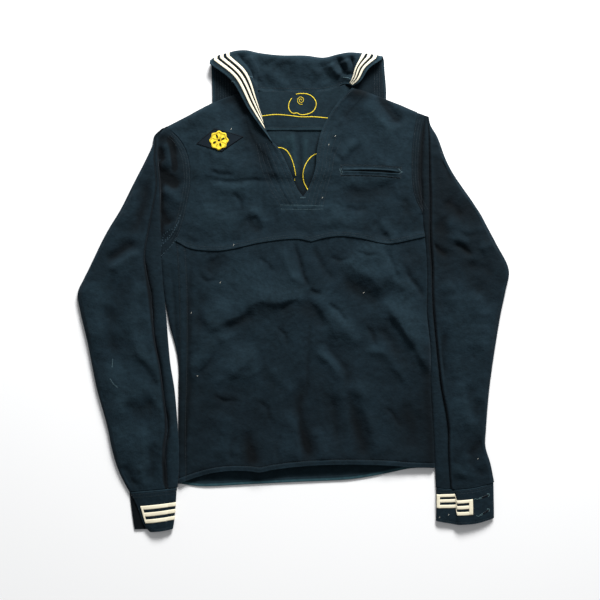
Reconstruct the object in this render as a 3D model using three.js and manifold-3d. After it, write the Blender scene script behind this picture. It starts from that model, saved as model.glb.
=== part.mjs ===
// A sailor jumper in dark wool cloth, lying flat on its back with its sleeves beside the body.
// Units are millimetres: +X to the right as seen, +Y towards the collar, +Z up from the surface.
// The origin is on the surface, under the middle of the garment's outline.
import * as THREE from "three";
import { mergeVertices } from "three/addons/utils/BufferGeometryUtils.js";
import Module from "manifold-3d";

// Driving dimensions
const CLOTH = 1.5; // wool cloth, one layer
const COLLAR_CLOTH = 2; // the collar is two layers sewn together
const CUFF_CLOTH = 2; // so is each cuff
const SEAM_GAP = 0.6; // between two panels that are sewn edge to edge
const LAYER_GAP = 0.5; // between two layers that lie on each other
const SEWN_GAP = 0.3; // under a piece that is sewn flat on a panel
const TURNING = 0.8; // extra thickness where an edge is turned in and stitched
const LOFT = 3; // the front's mean height over the back, beyond their own thickness
const EDGE_ROUND = 7; // how far in from a closed edge the front has its full height
const HEM_LIFT = 4.5; // how much further the front hem stands open at its middle
const TAPE = { width: 5.6, thick: 0.5, pitch: 8.8, margin: 6.6 }; // the collar's three white tapes
const CUFF_TAPE = { width: 6.8, thick: 0.6, pitch: 10.9 };
// The collar's back flap, which lies under the body and lifts it
const FLAP = { left: -139, right: 163, bottom: 232, lift: 20, ramp: 26 };
const FLAP_STAND = 0.8; // the flap's height over the surface, for the tapes under it
const FACING = { thick: 1.2, left: -92, right: 108, bottom: 281 };
const NECK_ROLL = 5; // radius of the collar's roll at the back of the neck

const NAVY = 0x18222c;
const NAVY_INSIDE = 0x1d2a35;
const CREAM = 0xefe6c8;
const YELLOW = 0xe8d21c;

// Small helpers for tables, curves and blends
const rows = (columns, ...lines) =>
  lines.map((line) => Object.fromEntries(columns.map((c, i) => [c, line[i]])));
const clamp = (t, low = 0, high = 1) => Math.min(high, Math.max(low, t));
const mix = (a, b, t) => a + (b - a) * t;
const smooth = (t) => clamp(t) ** 2 * (3 - 2 * clamp(t));
const steps = (n, from = 0, to = 1) => Array.from({ length: n + 1 }, (_, i) => mix(from, to, i / n));
const curve = (points) => new THREE.SplineCurve(points.map((p) => new THREE.Vector2(p.x, p.y)));
const joined = (...curves) => {
  const path = new THREE.CurvePath();
  curves.forEach((c) => path.add(c));
  return path;
};

// A table's column at any value of another column, straight between its rows.
function lookUp(table, key, value, column) {
  const rising = table[0][key] < table.at(-1)[key];
  const ordered = rising ? table : [...table].reverse();
  const at = ordered.findIndex((r) => r[key] >= value);
  const next = at < 0 ? ordered.length - 1 : Math.max(at, 1);
  const [a, b] = [ordered[next - 1], ordered[next]];
  return mix(a[column], b[column], clamp((value - a[key]) / (b[key] - a[key])));
}

// The outline of the body, as its seams and edges lie
const LEFT_SIDE = rows(["x", "y"], [-199, -336], [-198, -280], [-199, -235], [-199, -165], [-199, -129],
  [-203, -101], [-214, -60], [-220, -29], [-225, 2], [-230, 58]);
const RIGHT_SIDE = rows(["x", "y"], [247, -308], [245, -248], [240.5, -185], [239, -91], [233, -38], [234, 2],
  [233.5, 65], [230, 95], [226.5, 134]);
const LEFT_ARMHOLE = rows(["x", "y"], [-230, 58], [-205, 88], [-192.5, 116], [-182, 160], [-177.5, 195],
  [-182.5, 238], [-196, 265], [-219, 287]);
const RIGHT_ARMHOLE = rows(["x", "y"], [226.5, 134], [213.5, 160], [207.5, 185], [206, 230], [207.5, 265],
  [215, 304]);
const LEFT_SHOULDER = rows(["x", "y"], [-219, 287], [-176, 309], [-138, 328], [-100, 342], [-66, 350]);
const RIGHT_SHOULDER = rows(["x", "y"], [102, 354], [130, 342], [163, 324.5], [215, 304]);
const NECK = rows(["x", "y"], [-66, 350], [-60, 347], [-23, 346.5], [30, 346], [58, 348.5], [74.5, 353.5],
  [88, 360], [102, 354]);
const FRONT_HEM = rows(["x", "y"], [-199, -336], [-184, -330], [-145, -318], [-75, -312.5], [30, -304],
  [100, -302], [170, -304], [205, -307], [247, -308]);
const BACK_HEM = rows(["x", "y"], [-199, -336], [-163, -340.5], [-75, -337], [-5, -333.5], [100, -326.5],
  [170, -313], [205, -309], [247, -308]);
const YOKE_SEAM_LEFT = rows(["x", "y"], [-205, 88], [-180, 75], [-135, 70.5], [-110, 73], [-58, 84.5],
  [-12, 90.5], [12, 91], [31.5, 86.5]);
const YOKE_SEAM_RIGHT = rows(["x", "y"], [31.5, 86.5], [58, 93.5], [82, 96], [117, 92.5], [152, 84.5],
  [170, 83], [230, 95]);
const CENTRE = rows(["x", "y"], [31.5, 86.5], [17.5, 165]);
const V_LEFT = rows(["x", "y"], [17.5, 165], [7, 180], [-5, 209], [-26, 251], [-40, 265], [-51, 286],
  [-58, 312], [-66, 350]);
const V_RIGHT = rows(["x", "y"], [17.5, 165], [26, 178], [38.5, 212.5], [42, 247.5], [51, 282.5],
  [73.5, 322.5], [102, 354]);

// The largest folds in the body: a ridge or a trough from one point to another, steep on one side.
const BODY_FOLDS = rows(["x0", "y0", "x1", "y1", "steep", "gentle", "height"],
  [-180, 70, -183, -150, 6, 14, 1.6],
  [-184, -150, -187, -322, 5, 12, 1.8],
  [13, 84, 23, 12, 7, 14, 1.8],
  [22, 8, -75, -26, 9, 26, 2.6],
  [-75, -26, -158, -92, 10, 30, 2.2],
  [-105, -92, -180, -180, 9, 24, 2],
  [24, 4, 72, -72, 9, 24, 2],
  [72, -72, 100, -250, 12, 30, 2.2],
  [150, 76, 238, -112, 10, 26, 3],
  [80, 48, 160, -10, 12, 24, 2.2],
  [-60, -80, 10, -135, 14, 30, 1.8],
  [12, -220, 36, -300, 12, 22, 2.2],
  [-80, -250, -58, -308, 12, 22, 1.8]);

const distance = (x, y, a, b) => {
  const [dx, dy] = [b.x - a.x, b.y - a.y];
  const t = clamp(((x - a.x) * dx + (y - a.y) * dy) / (dx * dx + dy * dy));
  return Math.hypot(x - a.x - dx * t, y - a.y - dy * t);
};
const toEdge = (x, y, edge) => Math.min(...edge.slice(1).map((b, i) => distance(x, y, edge[i], b)));

function foldHeight(x, y, f) {
  const length = Math.hypot(f.x1 - f.x0, f.y1 - f.y0);
  const [ux, uy] = [(f.x1 - f.x0) / length, (f.y1 - f.y0) / length];
  const along = ((x - f.x0) * ux + (y - f.y0) * uy) / length;
  const off = (x - f.x0) * uy - (y - f.y0) * ux;
  const fade = smooth((along + 0.15) / 0.3) * smooth((1.15 - along) / 0.3);
  return f.height * fade * Math.exp(-((off / (off > 0 ? f.steep : f.gentle)) ** 2));
}

// Heights of the middle of each layer above the surface
const FLAP_TOP = FLAP_STAND + COLLAR_CLOTH;
function backHeight(x, y) {
  const { left, right, bottom, lift } = FLAP;
  const outside = Math.max(left - lift - x, x - right - lift, bottom - lift - y, 0);
  return CLOTH / 2 + (FLAP_TOP + LAYER_GAP) * smooth(1 - outside / FLAP.ramp);
}
function frontHeight(x, y) {
  const closed = Math.min(toEdge(x, y, LEFT_SIDE), toEdge(x, y, RIGHT_SIDE), toEdge(x, y, LEFT_SHOULDER),
    toEdge(x, y, RIGHT_SHOULDER));
  const round = Math.sqrt(1 - (1 - clamp(closed / EDGE_ROUND)) ** 2);
  const folds = BODY_FOLDS.reduce((sum, f) => sum + foldHeight(x, y, f), 0);
  const hem = smooth((x + 199) / 150) * smooth((247 - x) / 180) * smooth((-230 - y) / 90);
  return backHeight(x, y) + CLOTH + LAYER_GAP + round * (LOFT + folds) + HEM_LIFT * hem;
}

// A wall of cloth on a grid of points. Each point has its place, the outward direction and any extra
// thickness on the outside; the wall is closed along its four edges.
function wallGeometry(grid, thickness) {
  const [m, n] = [grid.length, grid[0].length];
  const positions = [];
  for (const side of [1, -1])
    for (const line of grid)
      for (const { place, out, extra = 0 } of line) {
        const off = side > 0 ? thickness / 2 + extra : -thickness / 2;
        positions.push(...place.clone().addScaledVector(out, off));
      }
  const at = (j, i, side) => side * m * n + j * n + i;
  const index = [];
  const quad = (a, b, c, d) => index.push(a, b, c, a, c, d);
  for (let j = 0; j + 1 < m; j++)
    for (let i = 0; i + 1 < n; i++) {
      quad(at(j, i, 0), at(j, i + 1, 0), at(j + 1, i + 1, 0), at(j + 1, i, 0));
      quad(at(j, i, 1), at(j + 1, i, 1), at(j + 1, i + 1, 1), at(j, i + 1, 1));
    }
  for (let i = 0; i + 1 < n; i++) {
    quad(at(0, i, 1), at(0, i + 1, 1), at(0, i + 1, 0), at(0, i, 0));
    quad(at(m - 1, i, 0), at(m - 1, i + 1, 0), at(m - 1, i + 1, 1), at(m - 1, i, 1));
  }
  for (let j = 0; j + 1 < m; j++) {
    quad(at(j, 0, 0), at(j + 1, 0, 0), at(j + 1, 0, 1), at(j, 0, 1));
    quad(at(j, n - 1, 1), at(j + 1, n - 1, 1), at(j + 1, n - 1, 0), at(j, n - 1, 0));
  }
  const geometry = new THREE.BufferGeometry()
    .setAttribute("position", new THREE.Float32BufferAttribute(positions, 3))
    .setIndex(index);
  return facingOut(geometry);
}

function facingOut(geometry) {
  const [p, index] = [geometry.attributes.position, geometry.index.array];
  const [a, b, c] = [0, 1, 2].map(() => new THREE.Vector3());
  let volume = 0;
  for (let i = 0; i < index.length; i += 3) {
    [a, b, c].forEach((v, k) => v.fromBufferAttribute(p, index[i + k]));
    volume += a.dot(b.cross(c));
  }
  if (volume < 0)
    for (let i = 0; i < index.length; i += 3) [index[i + 1], index[i + 2]] = [index[i + 2], index[i + 1]];
  geometry.computeVertexNormals();
  return geometry;
}

// Solids for cutting and joining
const wasm = await Module();
wasm.setup();
function solid(geometry) {
  const bare = new THREE.BufferGeometry()
    .setAttribute("position", geometry.attributes.position.clone())
    .setIndex(geometry.index);
  const merged = mergeVertices(bare, 1e-4);
  return new wasm.Manifold(new wasm.Mesh({
    numProp: 3,
    vertProperties: new Float32Array(merged.attributes.position.array),
    triVerts: new Uint32Array(merged.index.array),
  }));
}
function geometryOf(made) {
  const mesh = made.getMesh();
  const geometry = new THREE.BufferGeometry()
    .setAttribute("position", new THREE.Float32BufferAttribute(Array.from(mesh.vertProperties), 3))
    .setIndex(Array.from(mesh.triVerts));
  geometry.computeVertexNormals();
  return geometry;
}

const jumper = new THREE.Group();
function add(name, geometry, color, roughness = 0.95) {
  const material = new THREE.MeshStandardMaterial({ color, roughness, metalness: 0 });
  const mesh = new THREE.Mesh(geometry, material);
  mesh.name = name;
  jumper.add(mesh);
}

// A flat-lying panel between four edges, with its height taken from a function of x and y.
const UP = new THREE.Vector3(0, 0, 1);
function panelGrid({ bottom, top, left, right, across, along, height, extra = () => 0 }) {
  const corner = (edge, t) => edge.getPointAt(clamp(t));
  const [p00, p10, p01, p11] = [corner(bottom, 0), corner(bottom, 1), corner(top, 0), corner(top, 1)];
  return along.map((v) =>
    across.map((u) => {
      const [b, t, l, r] = [corner(bottom, u), corner(top, u), corner(left, v), corner(right, v)];
      const coordinate = (k) =>
        mix(b[k], t[k], v) + mix(l[k], r[k], u) - mix(mix(p00[k], p10[k], u), mix(p01[k], p11[k], u), v);
      const [x, y] = [coordinate("x"), coordinate("y")];
      return { place: new THREE.Vector3(x, y, height(x, y)), out: UP, extra: extra(x, y, u, v) };
    }));
}

// The height of a panel's upper face over a point, on its flat facets.
function faceUnder(grid, thickness, x, y) {
  for (let j = 0; j + 1 < grid.length; j++)
    for (let i = 0; i + 1 < grid[0].length; i++) {
      const corners = [grid[j][i], grid[j][i + 1], grid[j + 1][i + 1], grid[j + 1][i]];
      for (const three of [[0, 1, 2], [0, 2, 3]]) {
        const [a, b, c] = three.map((k) => corners[k]);
        const [abx, aby] = [b.place.x - a.place.x, b.place.y - a.place.y];
        const [acx, acy] = [c.place.x - a.place.x, c.place.y - a.place.y];
        const [dx, dy] = [x - a.place.x, y - a.place.y];
        const area = abx * acy - acx * aby;
        const wb = (dx * acy - acx * dy) / area;
        const wc = (abx * dy - dx * aby) / area;
        if (wb < -1e-6 || wc < -1e-6 || wb + wc > 1 + 1e-6) continue;
        const z = (g) => g.place.z + (g.extra ?? 0);
        return z(a) * (1 - wb - wc) + z(b) * wb + z(c) * wc + thickness / 2;
      }
    }
  return null;
}

const leftYokeColumns = [...steps(9, 0, 0.82), 0.91, 1];
const rightYokeColumns = [0, 0.09, ...steps(8, 0.18, 0.94), 0.97, 0.985, 1];
const hemRows = [0, 0.018, 0.021];

// The back: one piece from hem to shoulders.
const backGrid = panelGrid({
  bottom: curve(BACK_HEM),
  top: joined(curve(LEFT_SHOULDER), curve(NECK), curve(RIGHT_SHOULDER)),
  left: joined(curve(LEFT_SIDE), curve(LEFT_ARMHOLE)),
  right: joined(curve(RIGHT_SIDE), curve(RIGHT_ARMHOLE)),
  across: steps(22),
  along: [0, 0.013, 0.016, ...steps(16, 0.06, 1)],
  height: backHeight,
  extra: (x, y, u, v) => (v < 0.014 ? TURNING * smooth(u * 6) * smooth((1 - u) * 6) : 0),
});
add("back", wallGeometry(backGrid, CLOTH), NAVY);

// The front below the yoke. Its columns meet those of the yoke at the seam between them.
const besideYoke = new THREE.LineCurve(new THREE.Vector2(-230, 58), new THREE.Vector2(-205, 87));
const lower = ({ x, y }) => ({ x, y: y - SEAM_GAP });
const underYoke = [YOKE_SEAM_LEFT, YOKE_SEAM_RIGHT].map((seam) => curve(seam.map(lower)));
const frontTop = joined(besideYoke, ...underYoke);
const [aside, leftLength, rightLength] = [besideYoke, ...underYoke].map((c) => c.getLength());
const frontLength = aside + leftLength + rightLength;
const columnsAlong = [
  ...[0, 2, 5, 9, 22],
  ...leftYokeColumns.map((u) => aside + u * leftLength),
  ...rightYokeColumns.slice(1).map((u) => aside + leftLength + u * rightLength),
];
const frontColumns = columnsAlong.map((along) => along / frontLength);
const frontGrid = panelGrid({
  bottom: curve(FRONT_HEM),
  top: frontTop,
  left: curve(LEFT_SIDE),
  right: curve(RIGHT_SIDE.slice(0, -1)),
  across: frontColumns,
  along: [...hemRows, ...steps(14, 0.06, 1)],
  height: frontHeight,
  extra: (x, y, u, v) => (v < 0.02 ? TURNING : 0),
});
add("front", wallGeometry(frontGrid, CLOTH), NAVY);

// The yoke: the upper front, slashed down the middle. Its two halves are joined below the V.
const yokeRows = [0, 0.03, 0.035, 0.12, 0.23, 0.3, 0.42, 0.54, 0.66, 0.78, 0.88, 0.96, 0.985, 1];
const slashRow = 0.3; // the share of the yoke's rows that lie below the V
const openFront = (edge) => ({
  getPointAt: (t) =>
    t <= slashRow
      ? curve(CENTRE).getPointAt(t / slashRow)
      : curve(edge).getPointAt((t - slashRow) / (1 - slashRow)),
});
const turned = (x, y, u, v) => (v < 0.032 ? TURNING : 0);
const leftYoke = panelGrid({
  bottom: curve(YOKE_SEAM_LEFT),
  top: curve(LEFT_SHOULDER),
  left: curve(LEFT_ARMHOLE.slice(1)),
  right: openFront(V_LEFT),
  across: leftYokeColumns,
  along: yokeRows,
  height: frontHeight,
  extra: turned,
});
const rightYoke = panelGrid({
  bottom: curve(YOKE_SEAM_RIGHT),
  top: curve(RIGHT_SHOULDER),
  left: openFront(V_RIGHT),
  right: joined(curve(RIGHT_SIDE.slice(-2)), curve(RIGHT_ARMHOLE)),
  across: rightYokeColumns,
  along: yokeRows,
  height: frontHeight,
  extra: turned,
});
const yoke = solid(wallGeometry(leftYoke, CLOTH)).add(solid(wallGeometry(rightYoke, CLOTH)));
add("yoke", geometryOf(yoke), NAVY);

// The facing inside the back of the neck.
const facingTop = curve(NECK.slice(1, -2).map(({ x, y }) => ({ x: x * 1.25 - 2, y: y - 2 })));
const facingCorners = [FACING.left, FACING.right].map((x) => new THREE.Vector2(x, FACING.bottom));
const facingGrid = panelGrid({
  bottom: new THREE.LineCurve(...facingCorners),
  top: facingTop,
  left: new THREE.LineCurve(facingCorners[0], facingTop.getPointAt(0)),
  right: new THREE.LineCurve(facingCorners[1], facingTop.getPointAt(1)),
  across: steps(12),
  along: steps(4),
  height: (x, y) => backHeight(x, y) + CLOTH / 2 + SEWN_GAP + FACING.thick / 2,
});
add("neck_facing", wallGeometry(facingGrid, FACING.thick), NAVY_INSIDE);

// The collar runs from the left end at the V, round the neck seam, to the right end. Each row of the
// table is one line across it: from the neck seam over two points up to the roll. Under the roll it goes
// down the back flap.
const COLLAR_COLUMNS = ["share", "neckX", "neckY", "neckRise", "lowX", "lowY", "highX", "highY", "rollX",
  "rollY", "roll", "crown"];
const COLLAR = rows(COLLAR_COLUMNS,
  [0, -35, 258, 1, -75, 312, -107, 366, -142, 401, 6.2, 4],
  [0.03, -46, 278, 1, -72, 321, -98, 371, -130, 409, 6.6, 5],
  [0.06, -50.5, 289, 1, -67, 327, -90, 375, -120, 412, 6.6, 5],
  [0.09, -53.5, 300, 1, -63.5, 332, -81, 379, -111, 415.5, 6.6, 4.5],
  [0.14, -58.5, 322, 1, -62.5, 350, -71, 382, -97, 419, 6, 3],
  [0.21, -62, 349, 1, -61, 370, -67, 396, -80, 419.5, 5.2, 0],
  [0.27, -50, 347.6, 0, -53, 373, -59, 396, -62, 415.5, NECK_ROLL, 0],
  [0.4, -20, 347.3, 0, -21, 371, -23, 394, -24, 411, NECK_ROLL, 0],
  [0.55, 20, 347, 0, 20, 370, 20, 393, 20, 410.5, NECK_ROLL, 0.5],
  [0.67, 52, 348.5, 0, 52, 370, 52, 391, 51, 407, NECK_ROLL, 0],
  [0.76, 74, 354.5, 0, 74, 374, 74, 397, 76, 413, 5.2, 1],
  [0.82, 87, 361.5, 0, 90, 376, 93, 396, 95, 416, 5.6, 2],
  [0.88, 96, 361.5, 0.3, 101, 374, 105, 391, 109, 415, 6.2, 3],
  [0.94, 100, 360, 0.5, 108, 371, 114, 388, 128, 412, 6.2, 3.5],
  [1, 103, 357.5, 0.6, 116, 365, 130, 386, 151, 408, 6.2, 3]);
const FLAP_MIDDLE = FLAP_STAND + COLLAR_CLOTH / 2;

// A place on the collar's middle layer: share across, and stage 0 to 1 up, 1 to 2 round the roll, then
// 2 to 3 down the flap.
function collarPlace(share, stage) {
  const column = (name) => lookUp(COLLAR, "share", share, name);
  const [neckX, neckY, rollX, rollY, roll] = ["neckX", "neckY", "rollX", "rollY", "roll"].map(column);
  const rollLow = rollY - roll;
  const topAt = FLAP_MIDDLE + 2 * roll;
  const flapX = mix(FLAP.left, FLAP.right, share);
  if (stage <= 1) {
    const onYoke = frontHeight(neckX, neckY) + CLOTH / 2 + LAYER_GAP + COLLAR_CLOTH / 2;
    const neckZ = mix(backHeight(neckX, neckY), onYoke, column("neckRise"));
    const line = new THREE.SplineCurve([new THREE.Vector2(neckX, neckY),
      new THREE.Vector2(column("lowX"), column("lowY")), new THREE.Vector2(column("highX"), column("highY")),
      new THREE.Vector2(rollX, rollLow)]);
    const { x, y } = line.getPoint(stage);
    const crown = column("crown") * Math.sin(Math.PI * stage);
    return new THREE.Vector3(x, y, mix(neckZ, topAt, smooth(stage)) + crown);
  }
  if (stage <= 2) {
    const angle = Math.PI * (stage - 1);
    return new THREE.Vector3(
      mix(rollX, mix(rollX, flapX, 0.6), stage - 1),
      rollLow + roll * Math.sin(angle),
      FLAP_MIDDLE + roll * (1 + Math.cos(angle)));
  }
  return new THREE.Vector3(
    mix(mix(rollX, flapX, 0.6), flapX, smooth((stage - 2) * 3)),
    mix(rollLow, FLAP.bottom, stage - 2),
    FLAP_MIDDLE);
}

// A grid's outward directions, from the steps to its neighbours.
function withDirections(places, turn) {
  const [m, n] = [places.length, places[0].length];
  return places.map((line, j) =>
    line.map((place, i) => {
      const across = places[j][Math.min(i + 1, n - 1)].clone().sub(places[j][Math.max(i - 1, 0)]);
      const along = places[Math.min(j + 1, m - 1)][i].clone().sub(places[Math.max(j - 1, 0)][i]);
      return { place, out: across.cross(along).normalize().multiplyScalar(turn) };
    }));
}
const collarShares = [0, 0.02, 0.045, 0.07, 0.095, 0.12, 0.15, 0.18, 0.21, 0.25, ...steps(9, 0.3, 0.79), 0.83,
  0.865, 0.89, 0.915, 0.94, 0.97, 1];
const collarStages = [0, 0.14, 0.3, 0.48, 0.66, 0.84, 1, 1.17, 1.34, 1.5, 1.66, 1.83, 2, 2.15, 2.35, 2.7, 3];
const collarGrid = withDirections(
  collarStages.map((stage) => collarShares.map((share) => collarPlace(share, stage))), 1);
add("collar", wallGeometry(collarGrid, COLLAR_CLOTH), NAVY);

// A point moved out from a wall's own facets, so that what is sewn on the wall lies along it.
function pointOn({ grid, across, along }, u, v, off) {
  const find = (list, value) => clamp(list.findIndex((stop) => stop >= value - 1e-9), 1, list.length - 1);
  const [i, j] = [find(across, u), find(along, v)];
  const s = (u - across[i - 1]) / (across[i] - across[i - 1]);
  const t = (v - along[j - 1]) / (along[j] - along[j - 1]);
  const part = (name) =>
    grid[j - 1][i - 1][name].clone().lerp(grid[j - 1][i][name], s)
      .lerp(grid[j][i - 1][name].clone().lerp(grid[j][i][name], s), t);
  return part("place").addScaledVector(part("out"), off);
}

// A strip on a wall, between two or more lines of stations [u, v] that run side by side.
function stripOn(wall, line, wallThickness, thickness, gap = SEWN_GAP) {
  const off = wallThickness / 2 + gap + thickness / 2;
  return wallGeometry(line.map((pair) => pair.map(([u, v]) => {
    const place = pointOn(wall, u, v, off);
    return { place, out: pointOn(wall, u, v, off + 1).sub(place).normalize() };
  })), thickness);
}

// The three white tapes follow the collar's edge: up one end, round the flap and down the other end.
const FLAP_WIDE = FLAP.right - FLAP.left;
const FLAP_DEEP = 173;
const collar = { grid: collarGrid, across: collarShares, along: collarStages };
function tapeGeometry(number) {
  const nearEdge = TAPE.margin + number * TAPE.pitch;
  const edges = [nearEdge, nearEdge + TAPE.width];
  const sides = collarStages.filter((s) => s >= 0.14 && s < 2.6);
  const left = sides.map((s) => edges.map((e) => [e / FLAP_WIDE, s]));
  const right = [...sides].reverse().map((s) => edges.map((e) => [1 - e / FLAP_WIDE, s]));
  const share = (side, e) => (side > 0 ? 1 - e / FLAP_WIDE : e / FLAP_WIDE);
  const corner = (side) => edges.map((e) => [share(side, e), 3 - e / FLAP_DEEP]);
  const foot = steps(6, 0.18, 0.82).map((s) => edges.map((e) => [s, 3 - e / FLAP_DEEP]));
  return stripOn(collar, [...left, corner(-1), ...foot, corner(1), ...right], COLLAR_CLOTH, TAPE.thick);
}
for (const number of [0, 1, 2]) add(`collar_tape_${number + 1}`, tapeGeometry(number), CREAM, 0.8);

// Each sleeve is one piece wrapped round, sewn under the arm. A row is one section: the outer edge, the fold
// of the pleat that lies on it, the inner edge, the armhole or underarm seam, and how deep the pleat steps.
const CUFF_BELLY = 7; // how far the right cuff's seam hangs down in its middle
const SLEEVE_COLUMNS = ["y", "rise", "outer", "fold", "edge", "seam", "drop", "belly"];
const LEFT_SLEEVE = rows(SLEEVE_COLUMNS,
  [281, 3.5, -231, -228.5, -226, -221.5, 0.2],
  [271, 5, -242.5, -239.5, -236, -210, 0.3],
  [256, 1, -243.5, -240, -236.5, -194, 0.4],
  [230, 0, -255.5, -242, -236, -182, 0.6],
  [186, 0, -278, -239, -232, -179, 1],
  [144, 0, -300.5, -246, -232, -186, 1.6],
  [112, 0, -320, -252, -232, -194.8, 2.2],
  [94, 0, -330, -255.5, -232, -204.6, 2.4],
  [80, 0, -337, -258, -232.4, -212.4, 2.6],
  [59, 0, -347, -260, -232, -230.4, 2.8],
  [38, 0, -357, -257.5, -229.6, -229.2, 2.8],
  [20, 0, -366, -254, -229.5, -229, 2.8],
  [-3, 0, -376, -249, -226.5, -226, 2.8],
  [-35, 0, -371.5, -247, -222.5, -222, 2.8],
  [-88, 0, -359, -242, -218.5, -218, 2.8],
  [-129, 0, -351, -234, -214.5, -214, 2.8],
  [-172, 0, -342, -228, -207.5, -207, 2.6],
  [-235, 0, -324.5, -221, -202, -201.5, 2.6],
  [-280, 0, -315, -225, -200.5, -200, 2.6],
  [-317, 4, -303, -222, -200.8, -200.3, 2.4],
  [-350, 7.5, -286, -220.5, -202, -201.5, 2]);
const RIGHT_SLEEVE = rows(SLEEVE_COLUMNS,
  [305, 0, 237, 234.5, 231, 217, 0.4],
  [291, 0, 240, 236.5, 230.5, 213.5, 1],
  [270, 0, 252, 238.5, 228.5, 209.5, 1.6],
  [230, 0, 267, 239.5, 226.8, 207.2, 2],
  [205, 0, 280, 240, 226.8, 207.6, 2],
  [184, 0, 293, 240.4, 226.8, 208.8, 2],
  [160, 0, 309, 241, 227, 214.4, 2],
  [147, 0, 317, 241, 227.6, 220.6, 2],
  [134, 0, 325, 241, 229, 227.6, 2],
  [115, 0, 337, 241, 230.5, 229.8, 2],
  [82, 0, 354.5, 242.5, 234, 233.2, 2],
  [37, 0, 376, 245.5, 235.7, 235, 2.2],
  [2, 0, 371.5, 245, 236.2, 235.4, 2.4],
  [-38, 0, 363, 247, 235.8, 235, 2.6],
  [-91, 0, 354, 252, 241, 240.2, 2.8],
  [-169, 0, 343, 261, 242.5, 241.7, 2.8],
  [-241, 0, 335.5, 273, 247, 246.2, 2.8],
  [-270, 0, 334, 273, 248.5, 247.7, 2.8],
  [-301, -2, 342, 274, 249.5, 248.7, 2.6, 2],
  [-333, -9.5, 350, 277, 250.5, 249.7, 2.4, CUFF_BELLY]);

const SLEEVE_LOFT = 4.4; // the upper layer's height over the lower one
const SLEEVE_PIECES = 22; // two between each pair of a section's points
function sleeveSection(row, side) {
  const open = Math.abs(row.seam - row.edge) > 6; // above the underarm the sleeve opens into the body
  const low = CLOTH / 2;
  const wide = Math.abs(row.outer - row.fold);
  const loft = SLEEVE_LOFT * mix(0.5, 1, smooth((row.y + 345) / 70));
  const top = low + CLOTH + LAYER_GAP + Math.min(loft, wide * 0.3 + 0.8) + row.drop * 0.6;
  const strip = top - row.drop - 0.3;
  const share = (x) => clamp((x - row.outer) / (row.seam - row.outer));
  const y = (x) => row.y + row.rise * share(x) - (row.belly ?? 0) * Math.sin(Math.PI * share(x));
  const point = (x, z) => new THREE.Vector3(x, y(x), z);
  const under = (x) => new THREE.Vector3(x, row.y + row.rise * share(x), low);
  const layer = [
    under(row.outer - side * Math.min(5, wide * 0.2)),
    point(row.outer - side * 0.75, (low + top) / 2),
    point(row.outer - side * Math.min(6, wide * 0.25), top - 0.4),
    point(mix(row.outer, row.fold, 0.5), top + Math.min(0.8, wide / 60)),
    point(row.fold + side * 1.6, top + 0.3),
    point(row.fold - side * 1.4, mix(top, strip, 0.9)),
    point(mix(row.fold, row.edge, 0.5), strip),
  ];
  if (open) {
    const seamZ = frontHeight(row.seam, y(row.seam));
    const inner = row.seam + side * 0.2;
    return [under(inner), under(mix(inner, row.outer, 0.5)), ...layer,
      point(row.edge + side * 1.8, strip - 0.1), point(row.edge - side * 1.2, mix(seamZ, 2.75, 0.6)),
      point(row.seam, seamZ)];
  }
  const seamZ = low + CLOTH / 2 + LAYER_GAP;
  const inner = row.edge + side * 0.3;
  return [under(inner), under(mix(inner, row.outer, 0.5)), ...layer,
    point(row.edge + side * 2.4, strip - 0.2), point(row.edge + side * 0.8, mix(strip, seamZ, 0.5)),
    point(row.edge + side * 0.8, seamZ)];
}
const aboveSurface = (place, height) => place.setZ(Math.max(place.z, height));
function sleeveGrid(table, side) {
  const places = table.map((row) => {
    const path = new THREE.CatmullRomCurve3(sleeveSection(row, side), false, "centripetal");
    return steps(SLEEVE_PIECES).map((t) => aboveSurface(path.getPoint(t), CLOTH / 2));
  });
  return withDirections(places, side);
}
add("sleeve_left", wallGeometry(sleeveGrid(LEFT_SLEEVE, -1), CLOTH), NAVY);
add("sleeve_right", wallGeometry(sleeveGrid(RIGHT_SLEEVE, 1), CLOTH), NAVY);

// A cuff is an open band of two layers: from its hidden end along the surface, round the fold at the inner
// edge and back on top to its other end. Rows run from the seam to the cuff's lower edge.
const CUFF_COLUMNS = ["v", "endX", "endY", "innerX", "innerY", "stepX", "topX", "topY", "belly"];
const LEFT_CUFF = rows(CUFF_COLUMNS,
  [0, -286, -350.4, -203, -343.5, -221, -284, -350.5, 0],
  [0.35, -283, -374, -204.5, -368, -220, -272, -375.5, 0.5],
  [0.8, -279, -404, -207.5, -401, -221, -260, -408, 1],
  [1, -277, -416, -209.5, -414.5, -222, -249.5, -420.2, 1]);
const RIGHT_CUFF = rows(CUFF_COLUMNS,
  [0, 347, -333.7, 250, -343, 283, 350, -333.6, CUFF_BELLY],
  [0.35, 347, -354, 250, -362, 285.5, 350.5, -354, CUFF_BELLY],
  [0.8, 345, -383, 250, -389, 286, 351, -384, 8],
  [1, 341, -397, 249.5, -400.5, 286.5, 351, -396, 9]);
const CUFF_LOFT = 2.6; // the upper layer's height over the lower one
const CUFF_DEEP = 68;
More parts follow.
